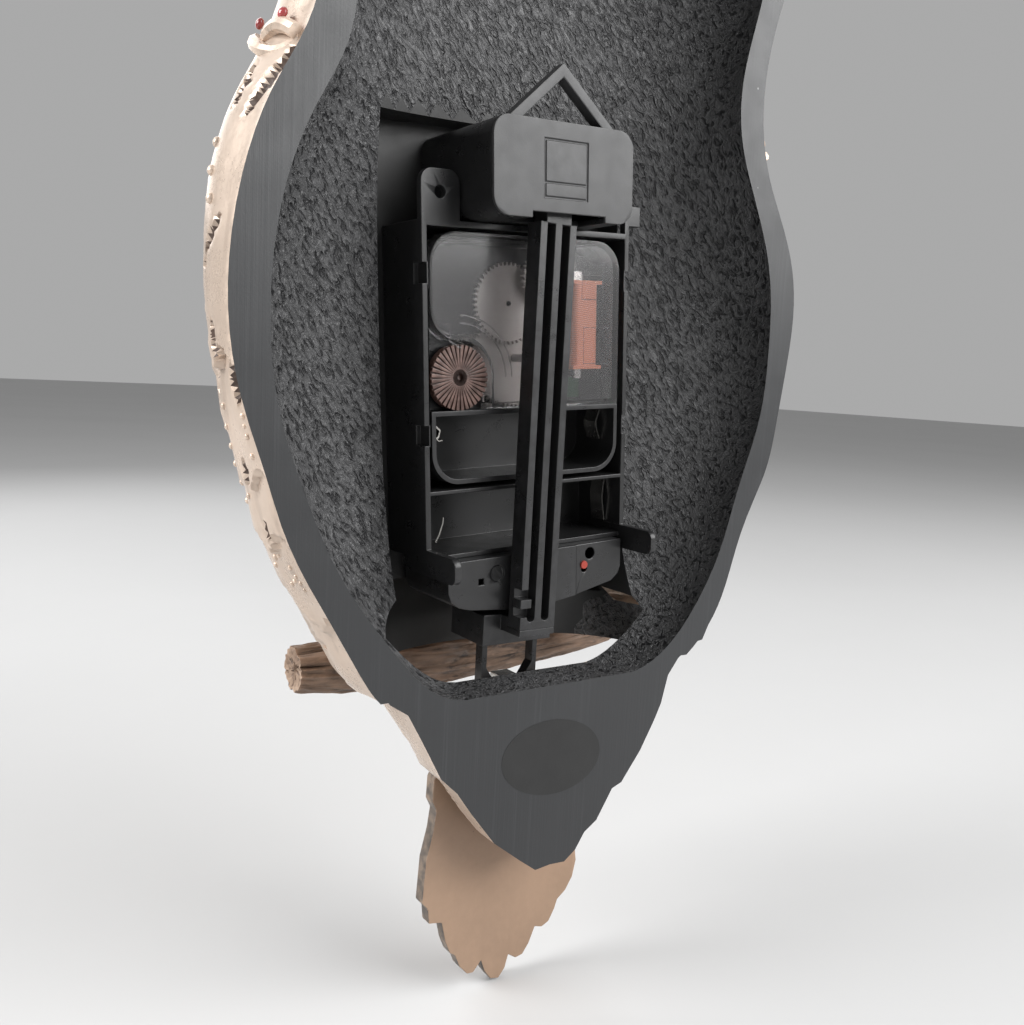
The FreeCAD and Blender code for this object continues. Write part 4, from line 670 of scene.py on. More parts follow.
def shingle_height(run, z, pitch, drop, deep):
    """Height of rows of overlapping feathers over the front."""
    best = -deep
    first = math.floor(z / drop)
    for row in range(first - 1, first + 2):
        v = ((row + 1) * drop - z) / (1.8 * drop)
        if not 0 <= v <= 1:
            continue
        shifted = run - 0.5 * pitch * (row % 2)
        nearest = round(shifted / pitch)
        for k in (nearest - 1, nearest, nearest + 1):
            u = (shifted - k * pitch) / (0.6 * pitch)
            if abs(u) < leaf_width(v):
                shaft = 0.25 * max(0.0, 1 - abs(u) / 0.1)
                best = max(best, deep * (v - 1) - 0.35 * u * u - shaft)
    return best


def front_open(x, z):
    """Share of the feathers' relief at a place in front: none near the dial, the eyes and the beak."""
    from_dial = math.hypot(x - DIAL.x, z - DIAL.z) / MM
    from_eye = min(math.hypot(x - AXIS.x - s * EYE_OUT, z - EYE_HEIGHT) for s in (-1, 1)) / MM
    from_beak = math.hypot((x - AXIS.x) / MM, (z / MM - 40) * 0.6)
    return eased(from_dial, BEZEL_R + 1, BEZEL_R + 4) * eased(from_eye, 21, 24) * eased(from_beak, 8, 12)


def skin_relief(point, half_width):
    """Height of the skin's plates at a point, below the plain solid, and whether it is in a slit."""
    z = point.z / MM
    run = -point.y / MM + max(0.0, half_width - abs(point.x - AXIS.x) / MM)
    front = eased(run, 15, 24)
    slit = slit_share(run, z)
    height = (1 - front) * step_height(run, z)
    if front > 0:
        size = 10.0 if z < 30 else 7.5
        height += front * shingle_height(run, z, size, 1.2 * size, 1.4) * front_open(point.x, point.z)
    return height - 1.5 * slit, slit > 0.12


def level_widths(bm, marked):
    """The skin's half width, in millimetres, at each level of height."""
    widths = {}
    for face in bm.faces:
        if face[marked] == OUTER:
            for vert in face.verts:
                level = round(vert.co.z / LEVEL)
                widths[level] = max(widths.get(level, 0.0), abs(vert.co.x - AXIS.x) / MM)
    return widths


def make_cast_body(settings, looks):
    """The hollow cast body: plates outside, sanded rim, rough hollow and smooth pocket."""
    bm = merged_copy("owl_body")
    marked = bm.faces.layers.int.new("zone")
    for face in bm.faces:
        face[marked] = body_zone(face.calc_center_median(), face.normal)
    split_long(bm, lambda f: f[marked] == HOLLOW, settings.stroke_step)
    split_long(bm, lambda f: f[marked] == OUTER, COARSE * settings.plate_step)
    split_long(bm, lambda f: f[marked] == OUTER and f.calc_center_median().y > -SIDE_BAND,
               settings.plate_step)
    bm.normal_update()
    widths = level_widths(bm, marked)
    dark = set()
    moves = []
    for vert in bm.verts:
        zones = {f[marked] for f in vert.link_faces}
        if zones == {HOLLOW}:
            moves.append((vert, vert.normal * settings.stroke_depth * stroke_height(vert.co)))
        elif zones == {OUTER}:
            height, slit = skin_relief(vert.co, widths[round(vert.co.z / LEVEL)])
            moves.append((vert, vert.normal * height * settings.plate_depth + swell(vert.co)))
            if slit:
                dark.add(vert)
    for vert, step in moves:
        vert.co += step
    # Faces in a slit take the dark brown slit finish: painted shade in the narrow slits.
    for face in bm.faces:
        in_slit = sum(1 for v in face.verts if v in dark) > 1
        face.material_index = SLIT if in_slit else face[marked]
    materials = [looks["plate"], looks["rim"], looks["hollow"], looks["pocket"], looks["recess"]]
    return new_piece("cast_body", bm, materials, replaces=("owl_body",), sharp=math.radians(50), flat=RIM)


def piece_tree(piece):
    """A piece's surface, for laying trim on it."""
    bm = bmesh.new()
    bm.from_mesh(piece.data)
    tree = BVHTree.FromBMesh(bm)
    bm.free()
    return tree


# Trim on the body

LEAF_THICKNESS = 0.7 * MM
FAN_FEATHERS = 30
FAN_START = 20.2 * MM
FAN_END = 29 * MM
FAN_HALF_WIDTH = 2.6 * MM
COLLAR_STEPS = 48
COLLAR_START = 1.2 * MM
STRAND_R = 1.5 * MM
RIVETS = 12
RIVET_CIRCLE = 16.4 * MM
RIVET_SINK = 1.2 * MM
OUTSIDE = 0.2


def lay_leaf(bm, tree, root, tip, width, toward):
    """One narrow feather, laid on the body by rays that run toward it."""
    along = tip - root
    across = along.cross(toward).normalized()
    made = bmesh.ops.create_grid(bm, x_segments=2, y_segments=5, size=0.5)["verts"]
    lost = []
    for vert in made:
        u, v = vert.co.x * 2, vert.co.y + 0.5
        spot = root + along * v + across * (u * width * leaf_width(v))
        hit, normal, _, _ = tree.ray_cast(spot - toward * OUTSIDE, toward)
        if hit is None:
            lost.append(vert)
            continue
        if normal.dot(toward) > 0:
            normal = -normal
        lift = 0.2 * (1 - v) - 0.3 * u * u
        vert.co = hit + normal * lift * MM
    faces = list({f for v in made for f in v.link_faces})
    if lost:
        bmesh.ops.delete(bm, geom=lost, context="VERTS")
        faces = [f for f in faces if f.is_valid]
    if faces:
        bmesh.ops.recalc_face_normals(bm, faces=faces)
        middle_face = faces[len(faces) // 2]
        if middle_face.normal.dot(toward) > 0:
            bmesh.ops.reverse_faces(bm, faces=faces)
        bmesh.ops.solidify(bm, geom=faces, thickness=LEAF_THICKNESS)


def cut_at_wall(bm, material_index):
    """Cuts trim off at the wall plane and gives the cut faces the rim's paint."""
    geom = bm.verts[:] + bm.edges[:] + bm.faces[:]
    cut = bmesh.ops.bisect_plane(bm, geom=geom, dist=MERGE, plane_co=(0, -0.02 * MM, 0),
                                 plane_no=(0, 1, 0), clear_outer=True)
    edges = [e for e in cut["geom_cut"] if isinstance(e, bmesh.types.BMEdge)]
    filled = bmesh.ops.holes_fill(bm, edges=edges, sides=0)["faces"]
    for face in filled:
        face.material_index = material_index
    for face in bm.faces:
        if face.normal.y > 0.95 and face.calc_center_median().y > -0.5 * MM:
            face.material_index = material_index


# Small beads on the side plates: depth and height in millimetres, and radius
BEADS = (
    (13.5, -75.6, 0.75), (13.5, -79.8, 0.75), (13.5, -83.7, 0.75), (3.4, -77.0, 0.7), (3.4, -81.0, 0.7),
    (3.4, -84.9, 0.7), (3.6, -79.0, 0.5), (12.5, -94.0, 0.7), (11.8, -105.3, 0.8), (11.0, -107.0, 0.8),
    (12.5, -109.0, 0.7), (9.0, -106.3, 0.6), (5.8, -108.4, 0.6), (5.0, -110.2, 0.6), (4.4, -111.6, 0.6),
    (6.6, -111.5, 0.6), (8.6, -112.5, 0.6), (4.0, -113.0, 0.55), (13.0, -24.6, 1.1), (11.5, -30.3, 1.1),
    (10.0, -35.8, 1.1), (20.0, -88.0, 0.8), (20.0, -92.0, 0.8), (20.0, -96.0, 0.8),
)


def make_side_beads(tree, looks):
    """Rows of small beads and rivets on the side plates."""
    bm = bmesh.new()
    for side in (1, -1):
        toward = Vector((-side, 0, 0))
        for depth, z, size in BEADS:
            start = Vector((side * OUTSIDE, -depth * MM, z * MM))
            hit, normal, _, _ = tree.ray_cast(start, toward)
            if hit is not None:
                bead(bm, hit, size * MM, 0.75, normal)
    new_piece("side_beads", bm, [looks["plate"]])


def make_eye_feathers(tree, looks):
    """Two fans of narrow feathers that ray out round the eye rings."""
    bm = bmesh.new()
    toward = Vector((0, 1, 0))
    for side in (-1, 1):
        centre = Vector((AXIS.x + side * EYE_OUT, 0, EYE_HEIGHT))
        for k in range(FAN_FEATHERS):
            angle = math.radians(360 / FAN_FEATHERS * k)
            out = Vector((math.cos(angle), 0, math.sin(angle)))
            if -out.x * side <= 0.55:
                lay_leaf(bm, tree, centre + out * FAN_START, centre + out * FAN_END, FAN_HALF_WIDTH, toward)
    new_piece("eye_feathers", bm, [looks["plate"]])


def make_collar(tree, settings, looks):
    """A twisted collar round the neck, with small enamel studs."""
    path = []
    for k in range(COLLAR_STEPS + 1):
        angle = math.pi * k / COLLAR_STEPS
        out = Vector((math.cos(angle), -math.sin(angle), 0))
        start = Vector((AXIS.x, -COLLAR_START, settings.collar_height)) + out * OUTSIDE
        hit, normal, _, _ = tree.ray_cast(start, -out)
        if hit is not None:
            path.append((hit, normal))
    rope = bmesh.new()
    for phase in (0.0, math.pi):
        points = []
        for k in range(4 * len(path) - 3):
            share = k / 4
            low = path[int(share)]
            high = path[min(int(share) + 1, len(path) - 1)]
            part = share - int(share)
            spot = low[0].lerp(high[0], part)
            normal = low[1].lerp(high[1], part).normalized()
            swing = phase + share * 1.1
            offset = normal * math.cos(swing) * 1.0 + UP * math.sin(swing) * 2.4
            points.append(spot + offset * MM)
        strand(rope, points, STRAND_R)
    cut_at_wall(rope, 1)
    new_piece("collar_rope", rope, [looks["plate"], looks["rim"]])
    studs = bmesh.new()
    for hit, normal in path[1::2]:
        bead(studs, hit + UP * 4.6 * MM, 1.2 * MM, 0.7, normal)
        bead(studs, hit - UP * 4.8 * MM, 1.2 * MM, 0.7, normal)
    new_piece("collar_studs", studs, [looks["enamel"]])


def make_ring_rivets(looks):
    """Rivets round both eye rings."""
    bm = bmesh.new()
    for node in ("eye_ring_left", "eye_ring_right"):
        low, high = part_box(node)
        centre = (low + high) / 2
        for k in range(RIVETS):
            angle = 2 * math.pi * k / RIVETS
            spot = centre + Vector((math.cos(angle), 0, math.sin(angle))) * RIVET_CIRCLE
            spot.y = low.y + RIVET_SINK
            bead(bm, spot, 1.0 * MM, 0.8, Vector((0, -1, 0)))
    new_piece("ring_rivets", bm, [looks["brass"]])


# Log and feet

LOG_CAP = 7.0 * MM
LOG_MARGIN = 0.4 * MM
LOG_CELLS = (130, 88)
SPARE_REACH = 6 * MM
SPARE_HALF = 8 * MM
FOLDS = 11
FOLD_DEPTH = 0.28 * MM


def make_log(settings, looks):
    """The log, with bark ridges along it and broken ends."""
    source = merged_copy("branch")
    tree = BVHTree.FromBMesh(source)
    source.free()
    low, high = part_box("branch")
    axis_y = (low.y + high.y) / 2
    span = high.x - low.x
    bm = bmesh.new()
    made = bmesh.ops.create_grid(bm, x_segments=LOG_CELLS[0], y_segments=LOG_CELLS[1], size=0.5)["verts"]
    for vert in made:
        along = (vert.co.x + 0.5) * (span + 2 * LOG_CAP) - LOG_CAP
        turn = (vert.co.y + 0.5) * 2 * math.pi
        x = low.x + min(max(along, LOG_MARGIN), span - LOG_MARGIN)
        beyond = max(-along, along - span, 0.0) / LOG_CAP
        centre = Vector((x, axis_y, log_middle(tree, x, axis_y)))
        out = Vector((0, math.cos(turn), math.sin(turn)))
        hit, _, _, _ = tree.ray_cast(centre, out)
        reach = (hit - centre).length if hit is not None else SPARE_REACH
        wave = Vector((x * 26, out.y * 2.6, out.z * 2.6))
        fine = Vector((x * 75, out.y * 9.0, out.z * 9.0))
        ridge = abs(noise.noise(wave)) * 1.6 + abs(noise.noise(fine)) * 0.9
        reach -= settings.bark_depth * min(ridge, 1.3)
        spot = centre + out * reach * (1 - beyond) ** 0.8
        chip = noise.noise(Vector((out.y * 3 + x * 30, out.z * 3, beyond * 3)))
        step = (0.4 + 1.0 * abs(chip)) * MM * min(1.0, beyond * 3)
        spot.x += step if along < 0 else -step if along > span else 0.0
        vert.co = spot
    bmesh.ops.remove_doubles(bm, verts=bm.verts, dist=0.01 * MM)
    bmesh.ops.recalc_face_normals(bm, faces=bm.faces)
    for face in bm.faces:
        face.material_index = 1 if abs(face.normal.x) > 0.75 else 0
    new_piece("log", bm, [looks["bark"], looks["wood"]], replaces=("branch",))


def log_middle(tree, x, y):
    """Height of the log's middle at a place along it."""
    top = tree.ray_cast(Vector((x, y, -0.1)), -UP)[0]
    foot = tree.ray_cast(Vector((x, y, -0.2)), UP)[0]
    if top is None or foot is None:
        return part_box("branch")[0].z + SPARE_HALF
    return (top.z + foot.z) / 2


def make_feet(looks):
    """Both clawed feet, with folded skin across the toes."""
    for node in ("foot_left", "foot_right"):
        bm = merged_copy(node)
        bm.normal_update()
        centre = middle("branch")
        moves = []
        for vert in bm.verts:
            angle = math.atan2(vert.co.z - centre.z, vert.co.y - centre.y)
            fold = abs(math.sin(angle * FOLDS))
            moves.append((vert, -vert.normal * FOLD_DEPTH * (1 - fold) ** 2))
        for vert, step in moves:
            vert.co += step
        new_piece(node + "_skin", bm, [looks["foot"]], replaces=(node,))


# Label on the lower back

LABEL_MARGIN = 0.9 * MM
LABEL_RING = 0.4 * MM
LABEL_FILM = 0.08 * MM
LABEL_PROUD = 0.05 * MM


def make_label(settings, looks):
    """The blank oval label with its thin pale ring."""
    bm = bmesh.new()
    tilt = Matrix.Rotation(settings.label_tilt, 4, "Y")
    size = Matrix.Diagonal((settings.label_half_width, 1, settings.label_half_height, 1))
    place = Matrix.Translation(LABEL)
    made = bmesh.ops.create_circle(bm, cap_ends=True, segments=96, radius=1.0,
                                   matrix=place @ tilt @ size @ BACKWARD)["verts"]
    face = made[0].link_faces[0]
    bmesh.ops.inset_region(bm, faces=[face], thickness=LABEL_MARGIN, use_even_offset=True)
    ring = bmesh.ops.inset_region(bm, faces=[face], thickness=LABEL_RING, use_even_offset=True)["faces"]
    for line in ring:
        line.material_index = 1
    bmesh.ops.recalc_face_normals(bm, faces=bm.faces)
    if face.normal.y < 0:
        bmesh.ops.reverse_faces(bm, faces=bm.faces)
    for vert in bm.verts:
        vert.co.y = LABEL_PROUD
    bmesh.ops.solidify(bm, geom=bm.faces[:], thickness=LABEL_FILM)
    new_piece("blank_label", bm, [looks["label"], looks["label_line"]])


# Movement

# Moulded parts: finish, width of the rounded edges in millimetres, material slot and body
MOULDED = {
    "movement_frame": ("black", 0.22, "black_moulding", BODY),
    "module_case": ("black", 0.15, "black_moulding", BODY),
    "drive_cover": ("black", 0.3, "black_moulding", BODY),
    "hanger_housing": ("black", 0.35, "black_moulding", BODY),
    "hanger_cover": ("black_satin", 0.2, "black_moulding", BODY),
    "hanger_loop": ("black_satin", 0.3, "black_moulding", BODY),
    "pendulum_arm": ("black", 0.18, "black_moulding", "pendulum"),
    "stirrup": ("black", 0.2, "black_moulding", "pendulum"),
    "module_cover": ("smoked", 0.25, "clear_cover", BODY),
    "setting_knob": ("brown", 0.08, "brown_moulding", "knob_group"),
    "tail_hook": ("nickel", 0.1, "steel", "tail_bob"),
    "tail": ("tail", 0.35, "painted_resin", "tail_bob"),
    "dial_bezel": ("bronze", 0.0, "bronze_trim", BODY),
}


def make_moulded(looks):
    """Every moulded part of the movement, with its edges rounded as a mould leaves them."""
    for node, (look, width, slot, body) in MOULDED.items():
        bm = rounded_copy(node, width * MM) if width else merged_copy(node)
        finishes = [looks[look]]
        # The tail's thin side faces take a darker finish: painted shade on the sides.
        if node == "tail":
            finishes.append(looks["tail_side_shade"])
            for face in bm.faces:
                face.material_index = 1 if abs(face.normal.y) < 0.45 else 0
        piece = new_piece(node + "_moulding", bm, finishes, body=body, replaces=(node,))
        even = piece.modifiers.new("even_faces", "WEIGHTED_NORMAL")
        even.keep_sharp = True


# Depths of the cover's arcs and lines, and each frame's centre and size, in the movement's millimetres
ARC_DEPTH = -14.25
LINE_DEPTH = -14.3
FRAMES = ((-3.0, -1.5, 5.5, 9.0), (-20.0, 17.5, 8.5, 6.0), (-20.5, 3.0, 8.0, 9.0))


def make_cover_lines(looks):
    """Raised lines on the clear cover: arcs round the knob's well, frames, a bar and a step."""
    bm = bmesh.new()
    knob_x, knob_z = unleaned(KNOB)
    knob_x /= MM
    knob_z /= MM
    for radius in (12.6, 14.4):
        points = []
        for k in range(19):
            angle = math.radians(5 * k)
            across = knob_x - radius * math.sin(angle)
            points.append(leaned(across, ARC_DEPTH, knob_z + radius * math.cos(angle)))
        strand(bm, points, 0.22 * MM, sides=6)
    for x, z, width, height in FRAMES:
        corners = [(x - width / 2, z - height / 2), (x + width / 2, z - height / 2),
                   (x + width / 2, z + height / 2), (x - width / 2, z + height / 2)]
        points = [leaned(a, LINE_DEPTH, b) for a, b in corners]
        strand(bm, points, 0.14 * MM, closed=True, sides=4)
    strand(bm, [leaned(6, LINE_DEPTH, 26.2), leaned(0, LINE_DEPTH, 26.2)], 0.3 * MM, sides=6)
    step = ((24.5, 8), (22.8, 8), (22.8, 4), (20, 2.6))
    strand(bm, [leaned(x, LINE_DEPTH, z) for x, z in step], 0.25 * MM, sides=6)
    new_piece("cover_lines", bm, [looks["smoked"]])


# Bends of the cells' light wire hooks, in the movement's own millimetres
WIRE_BENDS = (
    ((28.7, -15.4, -14.6), (28.2, -15.5, -15.5), (26.0, -15.6, -18.6), (25.6, -15.6, -19.0),
     (24.3, -15.9, -18.9)),
    ((24.0, -16.6, -37.6), (24.2, -16.4, -39.0), (25.6, -15.8, -41.6), (26.7, -15.6, -43.2)),
)


def make_drive_details(looks):
    """The small red peg that shows in the drive cover's hole, and the light wire hooks of the cells."""
    bm = bmesh.new()
    spot = leaned(-14.2, -10.6, -52.9)
    bmesh.ops.create_cone(bm, cap_ends=True, segments=24, radius1=1.3 * MM, radius2=1.0 * MM,
                          depth=1.4 * MM, matrix=Matrix.Translation(spot) @ BACKWARD)
    new_piece("drive_peg", bm, [looks["red"]])
    wires = bmesh.new()
    for bends in WIRE_BENDS:
        strand(wires, [leaned(x, depth, z) for x, depth, z in bends], 0.22 * MM, sides=6)
    new_piece("cell_wires", wires, [looks["nickel"]])


# Dial

HOUR_MARK = (0.9, 0.1, 3.4)
MINUTE_MARK = (0.4, 0.1, 1.8)
MARK_CIRCLE = 40.0
NUMERALS = ("XII", "I", "II", "III", "IV", "V", "VI", "VII", "VIII", "IX", "X", "XI")
NUMERAL_CIRCLE = 31 * MM
NUMERAL_SIZE = 9.5 * MM
NUMERAL_THICKNESS = 0.05 * MM
PRINT_PROUD = 0.03 * MM


def make_dial_marks(looks):
    """Hour and minute marks and Roman numerals on the dial."""
    bm = bmesh.new()
    face = Vector((DIAL.x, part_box("dial")[0].y - PRINT_PROUD, DIAL.z))
    for k in range(60):
        angle = 2 * math.pi * k / 60
        out = Vector((math.sin(angle), 0, math.cos(angle)))
        size = MINUTE_MARK if k % 5 else HOUR_MARK
        turn = Matrix.Rotation(angle, 4, "Y")
        spot = face + out * (MARK_CIRCLE - size[2] / 2) * MM
        block(bm, spot, [s * MM for s in size], turn)
    for k, text in enumerate(NUMERALS):
        curve = bpy.data.curves.new("numeral", "FONT")
        curve.body = text
        curve.size = NUMERAL_SIZE
        curve.align_x = "CENTER"
        curve.align_y = "CENTER"
        curve.extrude = NUMERAL_THICKNESS
        holder = bpy.data.objects.new("numeral", curve)
        bpy.context.scene.collection.objects.link(holder)
        mesh = bpy.data.meshes.new_from_object(holder)
        bpy.data.objects.remove(holder)
        angle = 2 * math.pi * k / 12
        spot = face + Vector((math.sin(angle), 0, math.cos(angle))) * NUMERAL_CIRCLE
        mesh.transform(Matrix.Translation(spot) @ Matrix.Rotation(angle, 4, "Y") @ BACKWARD.inverted())
        bm.from_mesh(mesh)
        bpy.data.meshes.remove(mesh)
    for face in bm.faces:
        face.material_index = 0
    new_piece("dial_marks", bm, [looks["ink"]], sharp=math.radians(30))


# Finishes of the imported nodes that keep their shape
KEPT = {
    "eye_ring_left": "bronze", "eye_ring_right": "bronze", "beak": "horn", "dial": "card",
    "bush_washer": "steel", "bush_nut": "brass", "hour_hand": "hand", "minute_hand": "hand",
    "hand_cap": "brass", "hour_wheel": "gear", "minute_arbor": "steel", "minute_wheel": "gear",
    "reverse_wheel": "gear", "third_wheel": "gear", "seconds_wheel": "gear", "rotor": "black_satin",
    "stepper_coil": "winding", "stepper_stator": "nickel", "circuit_board": "board",
    "negative_contact": "nickel", "positive_contact": "nickel", "lower_negative_contact": "nickel",
    "lower_positive_contact": "nickel", "drive_coil": "winding", "pivot_pin": "steel",
    "pendulum_magnet": "steel", "eye_left": "eye_left", "eye_right": "eye_right",
}

looks = {}
pieces = {}


# Finishes without settings: name, dark and light tone, and what differs from a plain finish
# Edge tones, crease tones and their amount paint highlights on edges and shade in creases, over some wear
# and dirt.
FINISHES = {
    # The pocket's near-black, darker than the hollow's paint, is black paint deepened by painted shade.
    "pocket": ("pocket_black", (0.014, 0.014, 0.014), (0.022, 0.022, 0.022), {"rough": (0.35, 0.5)}),
    # Dark brown of the slits: painted shade.
    "recess": ("recess_brown", (0.05, 0.03, 0.022), (0.12, 0.075, 0.055),
               {"rough": (0.4, 0.6), "relief": 0.1}),
    "enamel": ("enamel_red", (0.20, 0.02, 0.02), (0.45, 0.07, 0.07), {"rough": (0.12, 0.25), "coat": 0.6}),
    "bronze": ("bronze", (0.22, 0.13, 0.06), (0.52, 0.33, 0.16),
               {"metal": 0.9, "rough": (0.25, 0.45), "edge": (0.9, 0.65, 0.38), "dirt_and_shade": (0.04, 0.02, 0.01),
                "wear_and_painted_light": 0.9, "relief": 0.05}),
    "brass": ("brass", (0.55, 0.38, 0.14), (0.78, 0.58, 0.26), {"metal": 1.0, "rough": (0.18, 0.32)}),
    "steel": ("steel", (0.42, 0.42, 0.43), (0.6, 0.6, 0.62), {"metal": 1.0, "rough": (0.2, 0.32)}),
    "nickel": ("nickel", (0.55, 0.53, 0.50), (0.78, 0.76, 0.72), {"metal": 1.0, "rough": (0.15, 0.3)}),
    "horn": ("beak_horn", (0.10, 0.06, 0.03), (0.42, 0.29, 0.14),
             {"rough": (0.2, 0.4), "coat": 0.4, "wear_and_painted_light": 0.6, "patch": 160.0}),
    "wood": ("broken_wood", (0.20, 0.13, 0.09), (0.46, 0.33, 0.24),
             {"patch": 220.0, "rough": (0.45, 0.7), "relief": 0.5, "grain": 500.0, "wear_and_painted_light": 1.0,
              "dirt_and_shade": (0.07, 0.04, 0.03)}),
    "foot": ("foot_paint", (0.12, 0.085, 0.06), (0.36, 0.27, 0.2),
             {"rough": (0.3, 0.5), "wear_and_painted_light": 0.9, "edge": (0.6, 0.48, 0.36), "dirt_and_shade": (0.03, 0.02, 0.015),
              "relief": 0.1, "grain": 700.0}),
    "card": ("dial_card", (0.62, 0.52, 0.36), (0.78, 0.70, 0.54), {"patch": 45.0, "rough": (0.45, 0.6)}),
    "ink": ("dial_ink", (0.012, 0.01, 0.01), (0.03, 0.025, 0.02), {"rough": (0.35, 0.5)}),
    "hand": ("blackened_hand", (0.01, 0.01, 0.012), (0.03, 0.03, 0.035),
             {"metal": 0.6, "rough": (0.25, 0.4)}),
    "black_satin": ("black_satin", (0.045, 0.045, 0.046), (0.055, 0.055, 0.056),
                    {"rough": (0.38, 0.48), "grain": 3000.0, "relief": 0.02, "edge": (0.1, 0.1, 0.105),
                     "wear_and_painted_light": 0.2}),
    "brown": ("brown_moulding", (0.055, 0.028, 0.022), (0.10, 0.052, 0.04),
              {"rough": (0.28, 0.4), "edge": (0.2, 0.12, 0.1), "wear_and_painted_light": 0.8}),
    "gear": ("pale_gear", (0.55, 0.50, 0.46), (0.74, 0.70, 0.66), {"rough": (0.3, 0.45)}),
    "board": ("circuit_board", (0.02, 0.10, 0.035), (0.03, 0.16, 0.06), {"rough": (0.3, 0.45)}),
    "red": ("red_peg", (0.25, 0.025, 0.015), (0.42, 0.05, 0.03), {"rough": (0.25, 0.4)}),
    "label": ("label_film", (0.012, 0.012, 0.012), (0.018, 0.018, 0.018), {"rough": (0.32, 0.4)}),
    "label_line": ("label_line", (0.6, 0.6, 0.6), (0.75, 0.75, 0.75), {"rough": (0.35, 0.45)}),
    # Darker tail sides: painted shade.
    "tail_side_shade": ("tail_side_shade", (0.06, 0.05, 0.042), (0.11, 0.09, 0.075),
                  {"rough": (0.35, 0.5), "wear_and_painted_light": 0.8, "edge": (0.45, 0.33, 0.24)}),
}
CRACK = (0.03, 0.018, 0.013)
SMOKE = (0.80, 0.79, 0.80)
CLEARNESS = 0.96
EYE_RIM = (0.03, 0.012, 0.004)


# Settings that a user would change

def length(name, description, default):
    """A length, its default given in millimetres."""
    return FloatProperty(name=name, description=description, default=default * MM, unit="LENGTH")


def paint(name, description, *default):
    """A colour, its default given as red, green and blue."""
    return FloatVectorProperty(name=name, description=description, default=default, subtype="COLOR")


def power(name, description, default):
    """The power of a lamp, in watts."""
    return FloatProperty(name=name, description=description, default=default, min=0, unit="POWER")


class OwlBodySettings(bpy.types.PropertyGroup):
    stroke_step: length("Stroke mesh", "Longest edge of the hollow's mesh", 1.8)
    stroke_depth: length("Stroke depth", "Height of the thick paint's strokes", 0.55)
    plate_step: length("Plate mesh", "Longest edge of the side plates' mesh", 1.5)
    plate_depth: length("Plate depth", "Depth of the plates' relief, for each millimetre drawn", 1.0)
    bark_depth: length("Bark depth", "Depth of the bark's cracks", 1.1)
    collar_height: length("Collar height", "Height of the neck's collar", -5.0)
    label_half_width: length("Label half width", "Half the width of the oval label", 15.3)
    label_half_height: length("Label half height", "Half the height of the label", 9.7)
    label_tilt: FloatProperty(name="Label tilt", description="How far the label is turned on the back",
                              default=math.radians(-7), subtype="ANGLE")


class OwlColourSettings(bpy.types.PropertyGroup):
    rim: paint("Rim", "Paint of the sanded back edge", 0.030, 0.031, 0.033)
    hollow: paint("Hollow", "Paint of the rough hollow", 0.085, 0.085, 0.087)
    plate: paint("Plates", "Cream paint of the feather plates", 0.66, 0.53, 0.43)
    wash: paint("Wash", "Brown wash in the recesses", 0.13, 0.075, 0.05)
    bark: paint("Bark", "Paint of the log", 0.24, 0.155, 0.105)
    tail: paint("Tail", "Paint of the tail's back", 0.37, 0.245, 0.165)
    moulding: paint("Moulding", "Black plastic of the movement", 0.014, 0.014, 0.0145)
    coil: paint("Coil", "Lacquer of the coil's wire", 0.85, 0.27, 0.13)
    iris: paint("Iris", "Colour of the eyes", 0.75, 0.30, 0.03)


class OwlStageSettings(bpy.types.PropertyGroup):
    floor: paint("Floor", "Colour of the floor", 0.58, 0.58, 0.58)
    key: power("Key light", "Power of the side lamp", 10.0)
    top: power("Top light", "Power of the wide high lamp", 27.0)
    front: power("Front light", "Power of the front lamp", 4.0)
    sky: FloatProperty(name="Sky", description="Strength of the even light", default=0.36, min=0)
    backdrop: FloatProperty(name="Backdrop", description="Brightness of the far background", default=0.4,
                            min=0)
    lens: FloatProperty(name="Lens", description="Focal length of the camera in millimetres",
                        default=34.63, min=1)


# Operators

class OWL_OT_finishes(bpy.types.Operator):
    """Builds the shared effects and every material"""
    bl_idname = "owl_clock.finishes"
    bl_label = "Finishes"

    def execute(self, context):
        colours = context.scene.owl_colours
        for build in (build_mottle, build_grain, build_wear_and_painted_light, build_specks, build_streaks, build_stucco):
            build()
        for look, (name, dark, light, more) in FINISHES.items():
            looks[look] = finish(name, dark, light, **more)
        moulding = tuple(colours.moulding)
        # Edges of the black mouldings lighten toward the edge tone: painted highlights where the edges catch
        # light, with a little wear.
        looks["black"] = finish("black_moulding", moulding, [1.25 * c for c in moulding], rough=(0.26, 0.38),
                                grain=2600.0, relief=0.012, edge=(0.07, 0.07, 0.075), wear_and_painted_light=0.2)
        looks["rim"] = rim_paint(tuple(colours.rim))
        looks["hollow"] = hollow_paint(tuple(colours.hollow))
        looks["plate"] = cream_plate(tuple(colours.plate), tuple(colours.wash))
        looks["bark"] = bark_finish(tuple(colours.bark), CRACK)
        looks["smoked"] = smoked_cover(SMOKE, CLEARNESS)
        looks["winding"] = winding(tuple(colours.coil))
        looks["tail"] = tail_paint(tuple(colours.tail))
        for node in ("eye_left", "eye_right"):
            looks[node] = eye_glass(node + "_glass", middle(node), tuple(colours.iris), EYE_RIM)
        return {"FINISHED"}


class OWL_OT_body(bpy.types.Operator):
    """Makes the hollow cast body and its oval label"""
    bl_idname = "owl_clock.body"
    bl_label = "Cast body"

    def execute(self, context):
        pieces["body"] = make_cast_body(context.scene.owl_body, looks)
        make_label(context.scene.owl_body, looks)
        return {"FINISHED"}


